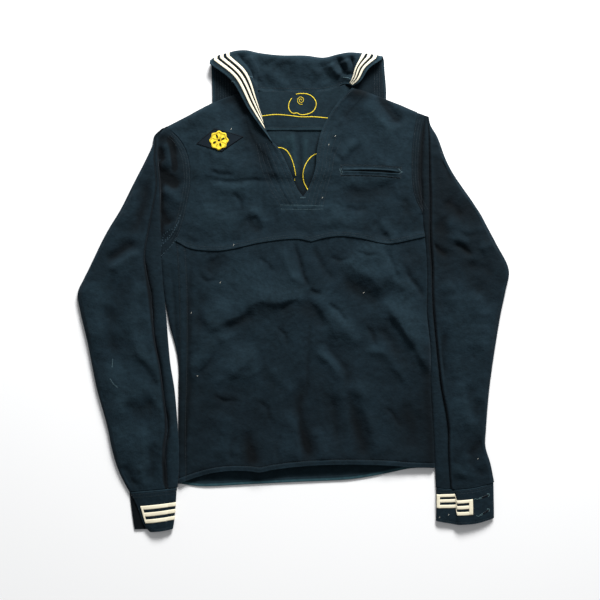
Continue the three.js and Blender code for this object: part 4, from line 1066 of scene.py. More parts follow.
def collar_grid(shares, stages):
    """Places on the collar's middle: stage 0 to 1 up, 1 to 2 round the roll, 2 to 3 down the flap."""
    dense = smooth_line(np.stack(list(COLLAR.values()), -1), 12)
    rows = {name: np.interp(shares, dense[:, 0], dense[:, k]) for k, name in enumerate(COLLAR)}
    flap_middle = FLAP["stand"] + COLLAR_CLOTH / 2
    roll_low = rows["roll_y"] - rows["roll"]
    top = flap_middle + 2 * rows["roll"]
    flap_x = mix(FLAP["left"], FLAP["right"], shares)
    neck_x, neck_y = rows["neck_x"], rows["neck_y"]
    on_yoke = front_height(neck_x, neck_y) + CLOTH / 2 + LAYER_GAP + COLLAR_CLOTH / 2
    neck_z = mix(back_height(neck_x, neck_y) + 0.3, on_yoke + 0.9, rows["rise"])
    lines = []
    for k in range(len(shares)):
        across = [(rows[part + "_x"][k], rows[part + "_y"][k]) for part in ("neck", "low", "high")]
        lines.append(smooth_line([*across, (rows["roll_x"][k], roll_low[k])], 40))
    grid = []
    for stage in stages:
        if stage <= 1:
            at = stage * 120
            low, part = int(min(at, 119)), at - int(min(at, 119))
            xy = np.array([mix(line[low], line[low + 1], part) for line in lines])
            z = mix(neck_z, top, ease(stage)) + rows["crown"] * math.sin(math.pi * stage)
        elif stage <= 2:
            angle = math.pi * (stage - 1)
            xy = np.stack([mix(rows["roll_x"], mix(rows["roll_x"], flap_x, 0.6), stage - 1),
                           roll_low + rows["roll"] * math.sin(angle)], -1)
            z = flap_middle + rows["roll"] * (1 + math.cos(angle))
        else:
            xy = np.stack([mix(mix(rows["roll_x"], flap_x, 0.6), flap_x, ease((stage - 2) * 3)),
                           mix(roll_low, FLAP["bottom"], stage - 2)], -1)
            z = np.full(len(shares), flap_middle)
        grid.append(np.column_stack([xy, z]))
    return np.array(grid)


collar_shares = np.unique(np.concatenate([
    np.array([0, 0.0013, 0.0035]), np.linspace(0.007, 0.24, 52), np.linspace(0.24, 0.76, 60),
    np.linspace(0.76, 0.993, 52), np.array([0.9965, 0.9987, 1])]))
collar_stages = np.unique(np.concatenate([
    np.array([0, 0.006, 0.014]), np.linspace(0.02, 1, 40), np.linspace(1, 2, 14), np.linspace(2, 2.95, 36),
    np.array([2.965, 2.975, 2.985, 2.993, 2.998, 3])]))
FLAP_WIDE = FLAP["right"] - FLAP["left"]


def collar_places():
    grid = collar_grid(collar_shares, collar_stages)
    x, y = grid[..., 0], grid[..., 1]
    shares, stages = np.meshgrid(collar_shares, collar_stages)
    shown = ease(stages / 0.12) * ease((1.35 - stages) / 0.3)
    folds = fold_relief(x, y, COLLAR_FOLDS, 1.5) + 0.9 * drift(x, y, 21, 21) + 0.4 * drift(x, y, 9, 22)
    folds = folds * ease((shares - 0.1) / 0.05) * ease((0.93 - shares) / 0.05) + 0.35 * drift(x, y, 12, 23)
    from_end = np.minimum(shares, 1 - shares) * FLAP_WIDE
    edge_row = -0.35 * np.exp(-((from_end - EDGE_ROW) / 1.1) ** 2) * (stages < 2)
    return grid, folds * shown + edge_row


collar_middle, collar_relief = collar_places()


def moved_out(grid, off):
    out = directions(grid.reshape(-1, 3), grid_quads(*grid.shape[:2])).reshape(grid.shape)
    return grid + out * np.asarray(off)[..., None]


collar_middle = moved_out(collar_middle, collar_relief)
shares, stages = np.meshgrid(collar_shares, collar_stages)
depth = np.where(stages < 1, stages * 70,
                 np.where(stages < 2, 70 + (stages - 1) * 18, 88 + (stages - 2) * FLAP["deep"]))
collar_uv = np.dstack([shares * FLAP_WIDE, depth]) * MM
ends = np.minimum(shares, 1 - shares) * FLAP_WIDE
# Wear at the ends, along the edges and on the roll; painted shade on the flap under the roll; slightly paler
# on the stand.
collar_wear_light_and_shade = (0.16 + 0.7 * ease((5.5 - ends) / 3) + 0.25 * ease((3 - stages) * 173 / 6 < 1)
               + 0.22 * ease((stages - 0.75) / 0.3) * ease((1.6 - stages) / 0.4)
               + 0.25 * ease((0.1 - stages) / 0.06) * (shares > 0.2) - 0.42 * ease((stages - 1.9) / 0.2)
               + 0.05 * (stages < 1) * ease((shares - 0.2) / 0.05) * ease((0.8 - shares) / 0.05))
# Painted shade in the gaps between the tapes.
for gap in (1, 2):
    middle = TAPE["margin"] + gap * TAPE["pitch"] - (TAPE["pitch"] - TAPE["width"]) / 2
    collar_wear_light_and_shade = collar_wear_light_and_shade - 0.9 * np.exp(-((ends - middle) / 1.7) ** 2) * (stages < 1.95)
collar_sheet = surface(collar_middle, collar_uv, collar_wear_light_and_shade)
collar = pieces.keep(cloth("collar_cloth", collar_sheet, COLLAR_CLOTH, NAVY))


class Wall:
    """A finished grid, with the shares of its rows and columns, for laying strips and stitches along it."""

    def __init__(self, grid, across, up, thickness, turn=1):
        self.grid, self.across, self.up, self.half, self.turn = grid, across, up, thickness / 2, turn
        self.out = directions(grid.reshape(-1, 3), grid_quads(*grid.shape[:2])).reshape(grid.shape) * turn

    def at(self, u, v, off=0.0):
        """Places and directions at shares u and v, moved out from the wall's outer side."""
        u, v = np.asarray(u, float), np.asarray(v, float)
        i = np.clip(np.searchsorted(self.across, u) - 1, 0, len(self.across) - 2)
        j = np.clip(np.searchsorted(self.up, v) - 1, 0, len(self.up) - 2)
        s = ((u - self.across[i]) / (self.across[i + 1] - self.across[i]))[..., None]
        t = ((v - self.up[j]) / (self.up[j + 1] - self.up[j]))[..., None]
        both = []
        for field in (self.grid, self.out):
            low = mix(field[j, i], field[j, i + 1], s)
            high = mix(field[j + 1, i], field[j + 1, i + 1], s)
            both.append(mix(low, high, t))
        place, out = both
        out = out / np.linalg.norm(out, axis=-1, keepdims=True)
        return place + out * (self.half + off), out


collar_wall = Wall(collar_middle, collar_shares, collar_stages, COLLAR_CLOTH)
TAPE_ROWS = 7


def tape_run(nearest):
    """Shares across and stages along one collar tape: up the left end, round the flap, down the right end."""
    side = np.concatenate([np.linspace(0.05, 1, 50), np.linspace(1, 2, 18)[1:], np.linspace(2, 2.62, 26)[1:]])
    foot = np.linspace(0.16, 0.84, 50)
    offs = nearest + np.linspace(0, 1, TAPE_ROWS) * TAPE["width"]
    turn = 3 - offs / FLAP["deep"]
    last = side[-1]
    left = [(offs / FLAP_WIDE, np.full(TAPE_ROWS, s)) for s in side]
    lead = [(offs / FLAP_WIDE, mix(last, turn, t)) for t in (0.35, 0.7, 1)]
    bottom = [(np.full(TAPE_ROWS, s), turn) for s in foot]
    lead_out = [(1 - offs / FLAP_WIDE, mix(last, turn, t)) for t in (1, 0.7, 0.35)]
    right = [(1 - offs / FLAP_WIDE, np.full(TAPE_ROWS, s)) for s in side[::-1]]
    run = left + lead + bottom + lead_out + right
    return np.array([u for u, v in run]), np.array([v for u, v in run])


def tape_strip(name, wall, u, v, thick, width):
    """A tape sewn on a wall, a little crowned, with its ribs across it."""
    place, out = wall.at(u, v, 0.1 + thick / 2)
    crown = np.sin(np.linspace(0, math.pi, u.shape[1])) * 0.12
    place = place + out * crown[None, :, None]
    run = lengths_along(place[:, u.shape[1] // 2])
    across = np.broadcast_to(np.linspace(0, width, u.shape[1]), u.shape)
    uv = np.dstack([np.broadcast_to(run[:, None], u.shape), across])
    strip = surface(place, uv * MM)
    facing = directions(strip.points, strip.quads)
    if (facing.reshape(out.shape) * out).sum() < 0:
        strip = turned_over(strip)
    return cloth(name, strip, thick, WHITE_TAPE, pinch=0.5)


collar_tapes = []
for number in range(3):
    u, v = tape_run(TAPE["margin"] + number * TAPE["pitch"])
    collar_tapes.append(pieces.keep(tape_strip(f"collar_tape_{number + 1}_woven", collar_wall, u, v,
                                               TAPE["thick"], TAPE["width"])))

# The sleeves: one piece each, wrapped round and sewn under the arm. A row is one section: its outer edge,
# the fold of the pleat that lies on it, the inner edge, the seam, and how deep the pleat steps.
LEFT_SLEEVE = table(
    "y rise outer fold edge seam drop belly",
    (284, 4.5, -229, -227, -225, -219, 0.2, 0),
    (271, 5, -242.5, -239.5, -236, -209, 0.3, 0),
    (256, 1, -245.5, -241, -237, -194, 0.6, 0),
    (230, 0, -257, -242, -236, -182, 0.9, 0),
    (186, 0, -279.5, -239, -232, -179, 1.2, 0),
    (144, 0, -300.5, -246, -232, -186, 1.6, 0),
    (112, 0, -320, -252, -232, -194.8, 2.2, 0),
    (94, 0, -330, -255.5, -232, -204.6, 2.4, 0),
    (80, 0, -337, -258, -231.6, -212.4, 2.6, 0),
    (59, 0, -347, -260, -230, -228.6, 2.8, 0),
    (38, 0, -357, -257.5, -228.4, -228, 2.8, 0),
    (20, 0, -366, -254, -227.6, -227.2, 2.8, 0),
    (-3, 0, -376, -249, -225.8, -225.4, 2.8, 0),
    (-35, 0, -371.5, -247, -222.5, -222, 2.8, 0),
    (-88, 0, -359, -242, -218.5, -218, 2.8, 0),
    (-129, 0, -351, -234, -214.5, -214, 2.8, 0),
    (-172, 0, -342, -228, -207.5, -207, 2.6, 0),
    (-235, 0, -324.5, -221, -202, -201.5, 2.6, 0),
    (-280, 0, -315, -225, -199.6, -199.2, 2.6, 0),
    (-317, 4, -303, -222, -200, -199.6, 2.4, 0),
    (-350, 7.5, -286, -220.5, -202, -201.5, 2, 0))
RIGHT_SLEEVE = table(
    "y rise outer fold edge seam drop belly",
    (305, 7, 237, 234.5, 231, 217, 0.4, 0),
    (291, 5, 240, 236.5, 230.5, 213.5, 1, 0),
    (270, 2, 252, 238.5, 228.5, 209.5, 1.6, 0),
    (230, 0, 267, 239.5, 226.8, 207.2, 2, 0),
    (205, 0, 280, 240, 226.8, 207.6, 2, 0),
    (184, 0, 294, 240.4, 226.8, 208.8, 2, 0),
    (160, 0, 311, 241, 227, 213.4, 2, 0),
    (147, 0, 319.5, 241, 227, 218.6, 2, 0),
    (134, 0, 328, 241, 227.5, 225.4, 2, 0),
    (115, 0, 338, 241, 228.6, 227.4, 2, 0),
    (82, 0, 355.5, 242.5, 231.8, 231, 2, 0),
    (37, 0, 377, 245.5, 233.8, 233, 2.2, 0),
    (2, 0, 371.5, 245, 234.4, 233.6, 2.4, 0),
    (-38, 0, 363, 247, 233.6, 232.8, 2.6, 0),
    (-91, 0, 354, 252, 238.8, 238, 2.8, 0),
    (-169, 0, 343, 261, 240.4, 239.6, 2.8, 0),
    (-241, 0, 337, 273, 244.8, 244, 2.8, 0),
    (-270, 0, 336, 273, 246.6, 245.8, 2.8, 0),
    (-301, -2, 345, 274, 248.2, 247.4, 2.6, 2),
    (-333, -9.5, 351.5, 277, 250, 249.2, 2.4, 7))
LEFT_SLEEVE_FOLDS = [
    Fold(-2.4, 7, 9, [(-250, 200), (-258, 160), (-270, 124), (-286, 92)]),
    Fold(2.2, 16, 8, [(-268, 190), (-284, 140), (-306, 108)]),
    Fold(-2.6, 8, 7, [(-270, 88), (-298, 72), (-330, 50)]),
    Fold(2.8, 12, 7, [(-264, 76), (-290, 56), (-324, 38)]),
    Fold(2.4, 14, 7, [(-264, 40), (-277, -20), (-281, -64), (-270, -104), (-240, -160)]),
    Fold(-1.6, 5, 8, [(-270, -110), (-250, -146), (-236, -170)]),
    Fold(-2.2, 12, 14, [(-300, -196), (-268, -208), (-238, -190)]),
    Fold(1.8, 20, 14, [(-322, -120), (-306, -170), (-296, -230)]),
    Fold(2.0, 16, 16, [(-336, 20), (-344, -40), (-330, -96)]),
    Fold(-1.4, 10, 14, [(-312, -20), (-320, -70), (-306, -120)]),
    Fold(1.4, 10, 14, [(-262, -226), (-258, -270), (-262, -320)]),
    Fold(-1.4, 7, 8, [(-248, -262), (-247, -300), (-246, -338)]),
    Fold(-1.4, 7, 8, [(-298, -300), (-284, -326), (-272, -348)]),
    Fold(1.4, 9, 8, [(-272, -300), (-262, -330), (-258, -350)]),
]
LEFT_CAP_FOLDS = [
    Fold(-4.2, 2.6, 3.4, [(-215, 284), (-211, 262), (-207, 235), (-204, 204)]),
    Fold(-2.0, 7, 7, [(-240, 272), (-226, 270), (-214, 274)]),
    Fold(-2.2, 5, 7, [(-238, 250), (-230, 240), (-226, 224)]),
    Fold(-2.6, 7, 8, [(-236, 214), (-218, 198), (-198, 180)]),
    Fold(2.2, 7, 7, [(-230, 182), (-212, 166), (-194, 148)]),
    Fold(1.8, 6, 5, [(-224, 258), (-219, 238), (-214, 214)]),
    Fold(-2.0, 5, 5, [(-232, 142), (-222, 126), (-212, 116)]),
]
# The deep creases beside the strips that lie along the sleeves, which are also painted in shade
LEFT_SLEEVE_CREASES = [
    Fold(-1.5, 3.6, 1.2, [(-239, 264), (-236, 235), (-233, 200), (-231, 160), (-230.5, 120), (-230.5, 84)]),
    Fold(-1.6, 3.6, 2.0, [(-218, -196), (-220.5, -245), (-225, -268), (-226.5, -300), (-224, -334),
                          (-214, -368)]),
    Fold(-1.3, 3.2, 2.4, [(-260, 66), (-257, 42), (-252.5, 14), (-248.5, -14), (-246.5, -36), (-245.5, -62)]),
    Fold(-1.0, 2.4, 2.0, [(-262, 72), (-259, 44), (-254, 15), (-250, -10), (-247, -32), (-244, -75),
                          (-239, -100), (-232, -130), (-228, -170), (-222, -220), (-221, -245),
                          (-225, -268), (-226, -300), (-224, -330), (-218, -348)]),
]
RIGHT_SLEEVE_CREASES = [
    Fold(-1.1, 1.4, 4.0, [(233, 312), (229, 284), (225.5, 250), (224.5, 200), (226, 150), (227, 128)]),
    Fold(-0.9, 1.2, 1.2, [(226, 150), (228, 115), (230.5, 92), (232, 60), (233.6, 20), (233.6, -38),
                          (238.4, -91), (240.4, -169), (244.8, -241), (248, -301), (250, -333)]),
    Fold(-1.0, 1.8, 1.8, [(236, 276), (238.5, 240), (239.5, 90), (242, 50), (244, 0), (246, -40), (251, -96),
                          (258, -160), (267, -205), (272, -238), (272, -270), (274, -300), (278, -334)]),
]
RIGHT_SLEEVE_FOLDS = [
    Fold(-1.5, 4, 5, [(240, 86), (254, 72), (270, 58)]),
    Fold(-1.6, 4, 5, [(276, 83), (296, 78), (318, 61)]),
    Fold(1.4, 9, 7, [(262, 96), (284, 92), (312, 84)]),
    Fold(-1.2, 10, 12, [(254, 128), (268, 104), (284, 86)]),
    Fold(-1.2, 8, 10, [(262, 162), (280, 148), (302, 128)]),
    Fold(-1.0, 6, 8, [(300, 48), (328, 42), (352, 28)]),
    Fold(-1.2, 12, 10, [(314, 16), (332, -6), (346, -32)]),
    Fold(-0.9, 4, 5, [(278, 22), (286, 4), (281, -16)]),
    Fold(1.2, 9, 9, [(266, 24), (272, 4), (270, -30)]),
    Fold(-1.0, 4, 4, [(256, 236), (268, 214), (274, 190)]),
    Fold(1.6, 9, 9, [(262, 124), (284, 108), (318, 104), (340, 110)]),
    Fold(-1.2, 6, 6, [(272, 116), (300, 98), (332, 104)]),
    Fold(1.6, 9, 9, [(326, 70), (344, 80), (358, 92)]),
    Fold(1.6, 14, 10, [(276, 40), (286, -10), (282, -60), (270, -110)]),
    Fold(-1.6, 6, 7, [(268, -60), (258, -112), (262, -160)]),
    Fold(2.0, 18, 20, [(318, 20), (326, -50), (312, -120)]),
    Fold(-1.4, 10, 12, [(300, -160), (314, -196), (324, -232)]),
    Fold(1.6, 14, 12, [(290, -150), (298, -200), (304, -250)]),
    Fold(-1.4, 8, 8, [(334, -256), (316, -274), (300, -290)]),
    Fold(1.8, 9, 10, [(280, -300), (296, -326), (320, -342)]),
    Fold(-1.2, 9, 7, [(300, -288), (318, -312), (340, -326)]),
]
SLEEVE_LOFT = 5.2
SECTION_PIECES = (7, 7, 3, 3, 20, 20, 3, 3, 3, 3, 6, 5, 3, 4, 5, 3)


def sleeve_section(row, side):
    """The points of one section, from the hidden inner edge round the outer edge to the seam on top."""
    is_open = abs(row["seam"] - row["edge"]) > 1.2
    low = CLOTH / 2
    wide = abs(row["outer"] - row["fold"])
    loft = SLEEVE_LOFT * mix(0.5, 1, float(ease((row["y"] + 345) / 70)))
    top = low + CLOTH + LAYER_GAP + min(loft, wide * 0.3 + 0.8) + row["drop"] * 0.6
    depth = min(1.0, row["drop"] / 2.4)
    crevice = mix(top, 3.1, depth)
    narrow = min(1.0, abs(row["fold"] - row["edge"]) / 14)
    strip = mix(top, 5.6, depth)
    outer, fold, edge, seam = (row[name] for name in ("outer", "fold", "edge", "seam"))

    def share(x):
        return np.clip((x - outer) / (seam - outer), 0, 1)

    def place_y(x):
        return row["y"] + row["rise"] * share(x) - row["belly"] * math.sin(math.pi * share(x))

    def point(x, z):
        return x, place_y(x), z

    def under(x):
        return x, row["y"] + row["rise"] * share(x), low

    inner = (seam if is_open else edge) + side * (0.2 if is_open else 0.3)
    middle = [
        under(mix(inner, outer, 0.5)), under(outer - side * min(5, wide * 0.2)),
        point(outer - side * 0.75, (low + top) / 2), point(outer - side * min(6, wide * 0.25), top - 0.4),
        point(mix(outer, fold, 0.5), top + min(0.8, wide / 60)),
        point(fold + side * 4.5 * narrow, top + 0.7 * depth),
        point(fold + side * 1.5 * narrow, top + 0.4 * depth),
        point(fold - side * 0.5, mix(top, crevice, 0.3)), point(fold + side * 0.3 * depth, crevice),
        point(fold - side * 1.9 * narrow, mix(crevice, strip, 0.35)),
        point(mix(fold, edge, 0.45), strip + 0.8 * narrow * depth)]
    if is_open:
        seam_z = float(front_height(np.array([seam]), np.array([place_y(seam)]))[0])
        ends = [point(edge + side * 1.8 * narrow, strip - 0.5), point(edge - side * 1.0, 3.0),
                point(mix(edge, seam, 0.4), seam_z + 0.3), point(seam + side * 1.0, seam_z - 0.3),
                point(seam - side * 4.5, seam_z - 2.0)]
    else:
        seam_z = low + CLOTH / 2 + LAYER_GAP
        ends = [point(edge + side * 2.8 * narrow, strip - 0.1),
                point(edge + side * 0.5, mix(strip, seam_z, 0.5)),
                point(edge + side * 0.2, mix(strip, seam_z, 0.8)), point(edge + side * 0.5, seam_z + 0.1),
                point(edge + side * 1.0, seam_z)]
    return [under(inner), *middle, *ends]


def sleeve_rows(sections, step):
    """Every row of a table, smooth between its lines, at about a step apart."""
    dense = smooth_line(np.stack(list(sections.values()), -1), 10)
    top, bottom = sections["y"][0], sections["y"][-1]
    ys = top - stops(top - bottom, step, ROUND_EDGE, ROUND_EDGE) * (top - bottom)
    columns = [np.interp(-ys, -dense[:, 0], dense[:, k]) for k in range(dense.shape[1])]
    return [dict(zip(sections, values)) for values in zip(*columns)]


def sleeve_surface(sections, side, folds, cap_folds, creases, painted_tones):
    rows = sleeve_rows(sections, 2.8)
    grid = np.array([smooth_line(sleeve_section(row, side), SECTION_PIECES) for row in rows])
    x, y = grid[..., 0], grid[..., 1]
    outer, fold, edge, seam = (np.array([row[name] for row in rows])[:, None]
                               for name in ("outer", "fold", "edge", "seam"))
    upper = (np.arange(grid.shape[1]) > sum(SECTION_PIECES[:4]))[None, :]
    from_outer, from_fold = side * (outer - x), side * (x - fold)
    on_top = upper * ease(from_outer / 9) * ease(from_fold / 7)
    ends = ease((sections["y"][0] - y) / 14) * ease((y - sections["y"][-1] - 2) / 16)
    relief = fold_relief(x, y, folds) + 0.9 * drift(x, y, 43, 31) + 0.4 * drift(x, y, 18, 32)
    relief = relief + 1.2 * crinkle(x, y, 36, 70) + 0.35 * crinkle(x, y, 16, 71)
    grid[..., 2] += on_top * ends * np.maximum(relief, -3.6)
    if cap_folds:
        cap = upper * ease(side * (edge - x) / 6) * ease((y - 92) / 20) * ease((276 - y) / 14)
        cap = cap * ease(side * (x - seam) / 12)
        cap_relief = fold_relief(x, y, cap_folds) + 0.8 * crinkle(x, y, 24, 72)
        grid[..., 2] += cap * np.maximum(cap_relief + 1.6, -1)
    steps_round = np.linalg.norm(np.diff(grid, axis=1), axis=2)
    run = np.concatenate([np.zeros((len(grid), 1)), np.cumsum(steps_round, axis=1)], 1)
    down = np.broadcast_to(lengths_along(grid[:, grid.shape[1] // 2])[:, None], run.shape)
    wear = 0.15 * upper * np.exp(-((x - outer) / 4) ** 2) + 0.12 * upper * np.exp(-((from_fold - 3) / 3) ** 2)
    # Painted shade in the fold troughs and in the crevice beside the pleat's fold.
    wear = wear + on_top * ends * fold_wear_and_shade(relief) - 0.5 * upper * np.exp(-((from_fold + 0.5) / 1.6) ** 2)
    if cap_folds:
        # Painted shade over the sleeve cap between the armhole and the fold, deepest in its troughs.
        wear = wear + cap * (np.clip(cap_relief * 0.17, -0.9, 0.2) - 0.1)
    crease = upper * fold_relief(x, y, creases, 0.8)
    grid[..., 2] = np.maximum(grid[..., 2] + crease * ends, CLOTH / 2)
    # Painted shade in the deep creases, and painted light and shade along the sleeve from its table.
    wear = wear + 0.34 * crease + upper * np.interp(y, *painted_tones)
    sheet = surface(grid, np.dstack([run, down]) * MM, wear)
    return sheet if side > 0 else turned_over(sheet)


# Painted light and shade along each sleeve's length: places in y, and how much
LEFT_PAINTED_TONES = [(-350, -240, -130, -40, 60, 200, 290), (0.02, 0.12, 0.08, -0.04, -0.1, -0.14, -0.14)]
RIGHT_PAINTED_TONES = [(-350, -260, -120, 0, 90, 180, 290), (-0.12, -0.07, 0, -0.16, -0.36, -0.34, -0.16)]
left_sheet = sleeve_surface(LEFT_SLEEVE, -1, LEFT_SLEEVE_FOLDS, LEFT_CAP_FOLDS, LEFT_SLEEVE_CREASES,
                            LEFT_PAINTED_TONES)
right_sheet = sleeve_surface(RIGHT_SLEEVE, 1, RIGHT_SLEEVE_FOLDS, [], RIGHT_SLEEVE_CREASES, RIGHT_PAINTED_TONES)
sleeve_left = pieces.keep(cloth("sleeve_left_cloth", left_sheet, CLOTH, NAVY))
sleeve_right = pieces.keep(cloth("sleeve_right_cloth", right_sheet, CLOTH, NAVY))

# The cuffs: open bands of two layers, from the hidden end round the fold and back on top.
LEFT_CUFF = table(
    "v end_x end_y inner_x inner_y step_x top_x top_y belly",
    (0, -286, -350.4, -203, -343.5, -221, -284, -350.5, 0),
    (0.35, -283, -374, -204.5, -368, -220, -272, -375.5, 0.5),
    (0.8, -279, -404, -207.5, -401, -221, -260, -408, 1),
    (1, -277, -416, -209.5, -414.5, -222, -249.5, -420.2, 1))
RIGHT_CUFF = table(
    "v end_x end_y inner_x inner_y step_x top_x top_y belly",
    (0, 347, -333.7, 250, -343, 283, 350, -333.6, 7),
    (0.35, 347, -354, 250, -362, 285.5, 350.5, -354, 7),
    (0.8, 345, -383, 250, -389, 286, 351, -384, 8),
    (1, 341, -397, 249.5, -400.5, 286.5, 351, -396, 9))
CUFF_LOFT = 2.6
CUFF_SECTION = (14, 14, 4, 4, 8, 3, 12, 8, 5)


def cuff_section(row, side, rise, base):
    low = base + CUFF_CLOTH / 2
    top = low + CUFF_CLOTH + LAYER_GAP + CUFF_LOFT
    end = low + CUFF_CLOTH + LAYER_GAP
    start = row["inner_x"]

    def edge_y(x, far_x, far_y, belly):
        t = np.clip((x - start) / (far_x - start), 0, 1)
        return mix(row["inner_y"], far_y, t) - belly * math.sin(math.pi * t)

    def under(x):
        return x, edge_y(x, row["end_x"], row["end_y"], 0), low

    def over(x, z):
        return x, edge_y(x, row["top_x"], row["top_y"], row["belly"]), z

    step, far = row["step_x"], row["top_x"]
    return [
        under(row["end_x"]), under(mix(row["end_x"], start, 0.5)), under(start + side * 5),
        over(start + side, (low + top) / 2), over(start + side * 5, top - 0.3), over(step - side * 1.4, top),
        over(step + side * 1.4, top + rise), over(mix(step, far, 0.5), top + rise),
        over(mix(step, far, 0.85), mix(top + rise, end, 0.45)), over(far, end)]


def cuff_wall(rows, side, rise, base):
    shares = stops(CUFF_TAPE["deep"], 2.2, (0, 0.4, 1.1, 2.2), (0, 0.4, 1.1, 2.2))
    dense = smooth_line(np.stack(list(rows.values()), -1), 12)
    places = []
    for share in shares:
        row = {name: np.interp(share, dense[:, 0], dense[:, k]) for k, name in enumerate(rows)}
        places.append(smooth_line(cuff_section(row, side, rise, base), CUFF_SECTION))
    grid = np.array(places)
    x, y = grid[..., 0], grid[..., 1]
    upper = (np.arange(grid.shape[1]) > sum(CUFF_SECTION[:4]))[None, :]
    grid[..., 2] += upper * (0.3 * drift(x, y, 14, 41) + 0.4 * drift(x, y, 30, 42))
    grid[..., 2] = np.maximum(grid[..., 2], base + CUFF_CLOTH / 2)
    spans = np.concatenate([np.linspace(k, k + 1, n, endpoint=False) for k, n in enumerate(CUFF_SECTION)])
    numbers = np.append(spans, len(CUFF_SECTION))
    return Wall(grid, numbers, shares, CUFF_CLOTH, -side)


def cuff_piece(name, wall):
    m, n = wall.grid.shape[:2]
    run = lengths_along(wall.grid[m // 2])
    down = np.broadcast_to(wall.up[:, None] * CUFF_TAPE["deep"], (m, n))
    uv = np.dstack([np.broadcast_to(run, (m, n)), down])
    off = np.minimum(wall.up, 1 - wall.up)[:, None] * CUFF_TAPE["deep"]
    ends = np.minimum(run, run[-1] - run)[None, :]
    # Painted shade on the layer that lies under the cuff's top, and wear along the edges.
    hidden = ease((1.6 - wall.across) / 0.6)[None, :]
    wear = 0.4 * ease((3 - off) / 3) + 0.4 * ease((3 - ends) / 3) - 0.7 * hidden
    extra = (-0.3 * np.exp(-((np.minimum(off, ends) - 4) / 1) ** 2)).ravel()
    sheet = surface(wall.grid, uv * MM, wear)
    return pieces.keep(cloth(name, sheet if wall.turn > 0 else turned_over(sheet), CUFF_CLOTH, NAVY, extra))


left_cuff = cuff_wall(LEFT_CUFF, -1, 0.8, CUFF_TAPE["thick"] + SEWN_GAP)
right_cuff = cuff_wall(RIGHT_CUFF, 1, 2.4, 0)
cuff_left = cuff_piece("cuff_left_cloth", left_cuff)
cuff_right = cuff_piece("cuff_right_cloth", right_cuff)


def cuff_bars(name, wall, start, stop, ends, rows_at):
    """The three bars and two end bars of a cuff's tape, from one number along its section to another."""
    wide, pitch = CUFF_TAPE["width"] / CUFF_TAPE["deep"], CUFF_TAPE["pitch"] / CUFF_TAPE["deep"]
    run = np.linspace(start, stop, 70)
    made = []
    for bar in range(3):
        v = rows_at(run)[:, None] + bar * pitch + np.linspace(0, wide, TAPE_ROWS)[None]
        made.append(tape_strip(f"{name}_{bar}", wall, np.repeat(run[:, None], TAPE_ROWS, 1), v,
                               CUFF_TAPE["thick"], CUFF_TAPE["width"]))
    for end, (low, high) in {"first": (start, start + ends[0]), "last": (stop - ends[1], stop)}.items():
        u = np.linspace(low, high, TAPE_ROWS)[None].repeat(16, 0)
        v = rows_at(u[:, :1]) + np.linspace(0, 2 * pitch + wide, 16)[:, None] + np.zeros(TAPE_ROWS)
        strip_thick = CUFF_TAPE["thick"] + 0.25
        made.append(tape_strip(f"{name}_{end}_end", wall, u, v, strip_thick, CUFF_TAPE["width"]))
    bpy.ops.object.select_all(action="DESELECT")
    for piece in made:
        piece.select_set(True)
    bpy.context.view_layer.objects.active = made[0]
    bpy.ops.object.join()
    made[0].name = name
    return pieces.keep(made[0])



def left_rows(number):
    """How far down the left cuff its tape starts, the same all along it."""
    return np.full_like(number, 0.345)

def right_rows(number):
    """How far down the right cuff its tape starts, lower past the step."""
    return mix(0.2 - 0.07 * np.clip(number - 4, 0, 1), 0.33, ease(number - 5))

cuff_tape_left = cuff_bars("cuff_tape_left_woven", left_cuff, 1.6, 8.2, (0.13, 0.3), left_rows)
cuff_tape_right = cuff_bars("cuff_tape_right_woven", right_cuff, 3.35, 6.85, (0.72, 0.19), right_rows)

# Pieces laid on the yoke: the pocket's welts, the patch and its motif
def laid_strip(name, xy, names, thickness, finish, gap=0.15, wear=None, crown=0.0):
    """A thin piece on a grid of x and y, lying on others."""
    m, n = xy.shape[:2]
    hits = [pieces.top(x, y, names) for x, y in xy.reshape(-1, 2)]
    place = np.array([hit[0] for hit in hits]).reshape(m, n, 3)
    place[..., 2] += gap + thickness / 2 + crown
    return pieces.keep(cloth(name, surface(place, wear=wear), thickness, finish))


welts = []
for side, name in [(1, "upper"), (-1, "lower")]:
    x = np.linspace(POCKET["left"], POCKET["right"], 60)
    ends = ease((x - POCKET["left"]) / 6) * ease((POCKET["right"] - x) / 6)
    gape = np.interp(x, [84, 94, 118, 145, 170, 180, 187], [0, 0.3, 1.5, 2.2, 2.2, 0.8, 0])
    offs = POCKET["slot"] / 2 + np.array([0, 0.5, 1.2, 2.2, 3.3, 4.6, 5.8, 6.6, 7.4, 8.0, 8.4])
    xy = np.stack([np.stack([x, pocket_line(x) + side * (off + gape * (off < 6) * (1 - off / 6) - 0.7)], -1)
                   for off in (offs if side > 0 else offs[::-1])])
    across = offs if side > 0 else offs[::-1]
    crown = 0.7 * np.exp(-((across[:, None] - 2.4) / 1.7) ** 2) * ends[None]
    wear = 0.5 * np.exp(-((across[:, None] - 2.8) / 1.5) ** 2) * ends[None] + 0.08
    # Painted shade in the open slot between the welts.
    wear = wear - 0.5 * ease((1.8 - across[:, None]) / 0.8) * ends[None]
    welts.append(laid_strip(f"pocket_welt_{name}_cloth", xy, ["yoke_cloth"], 1.0, NAVY,
                            wear=wear, crown=crown))

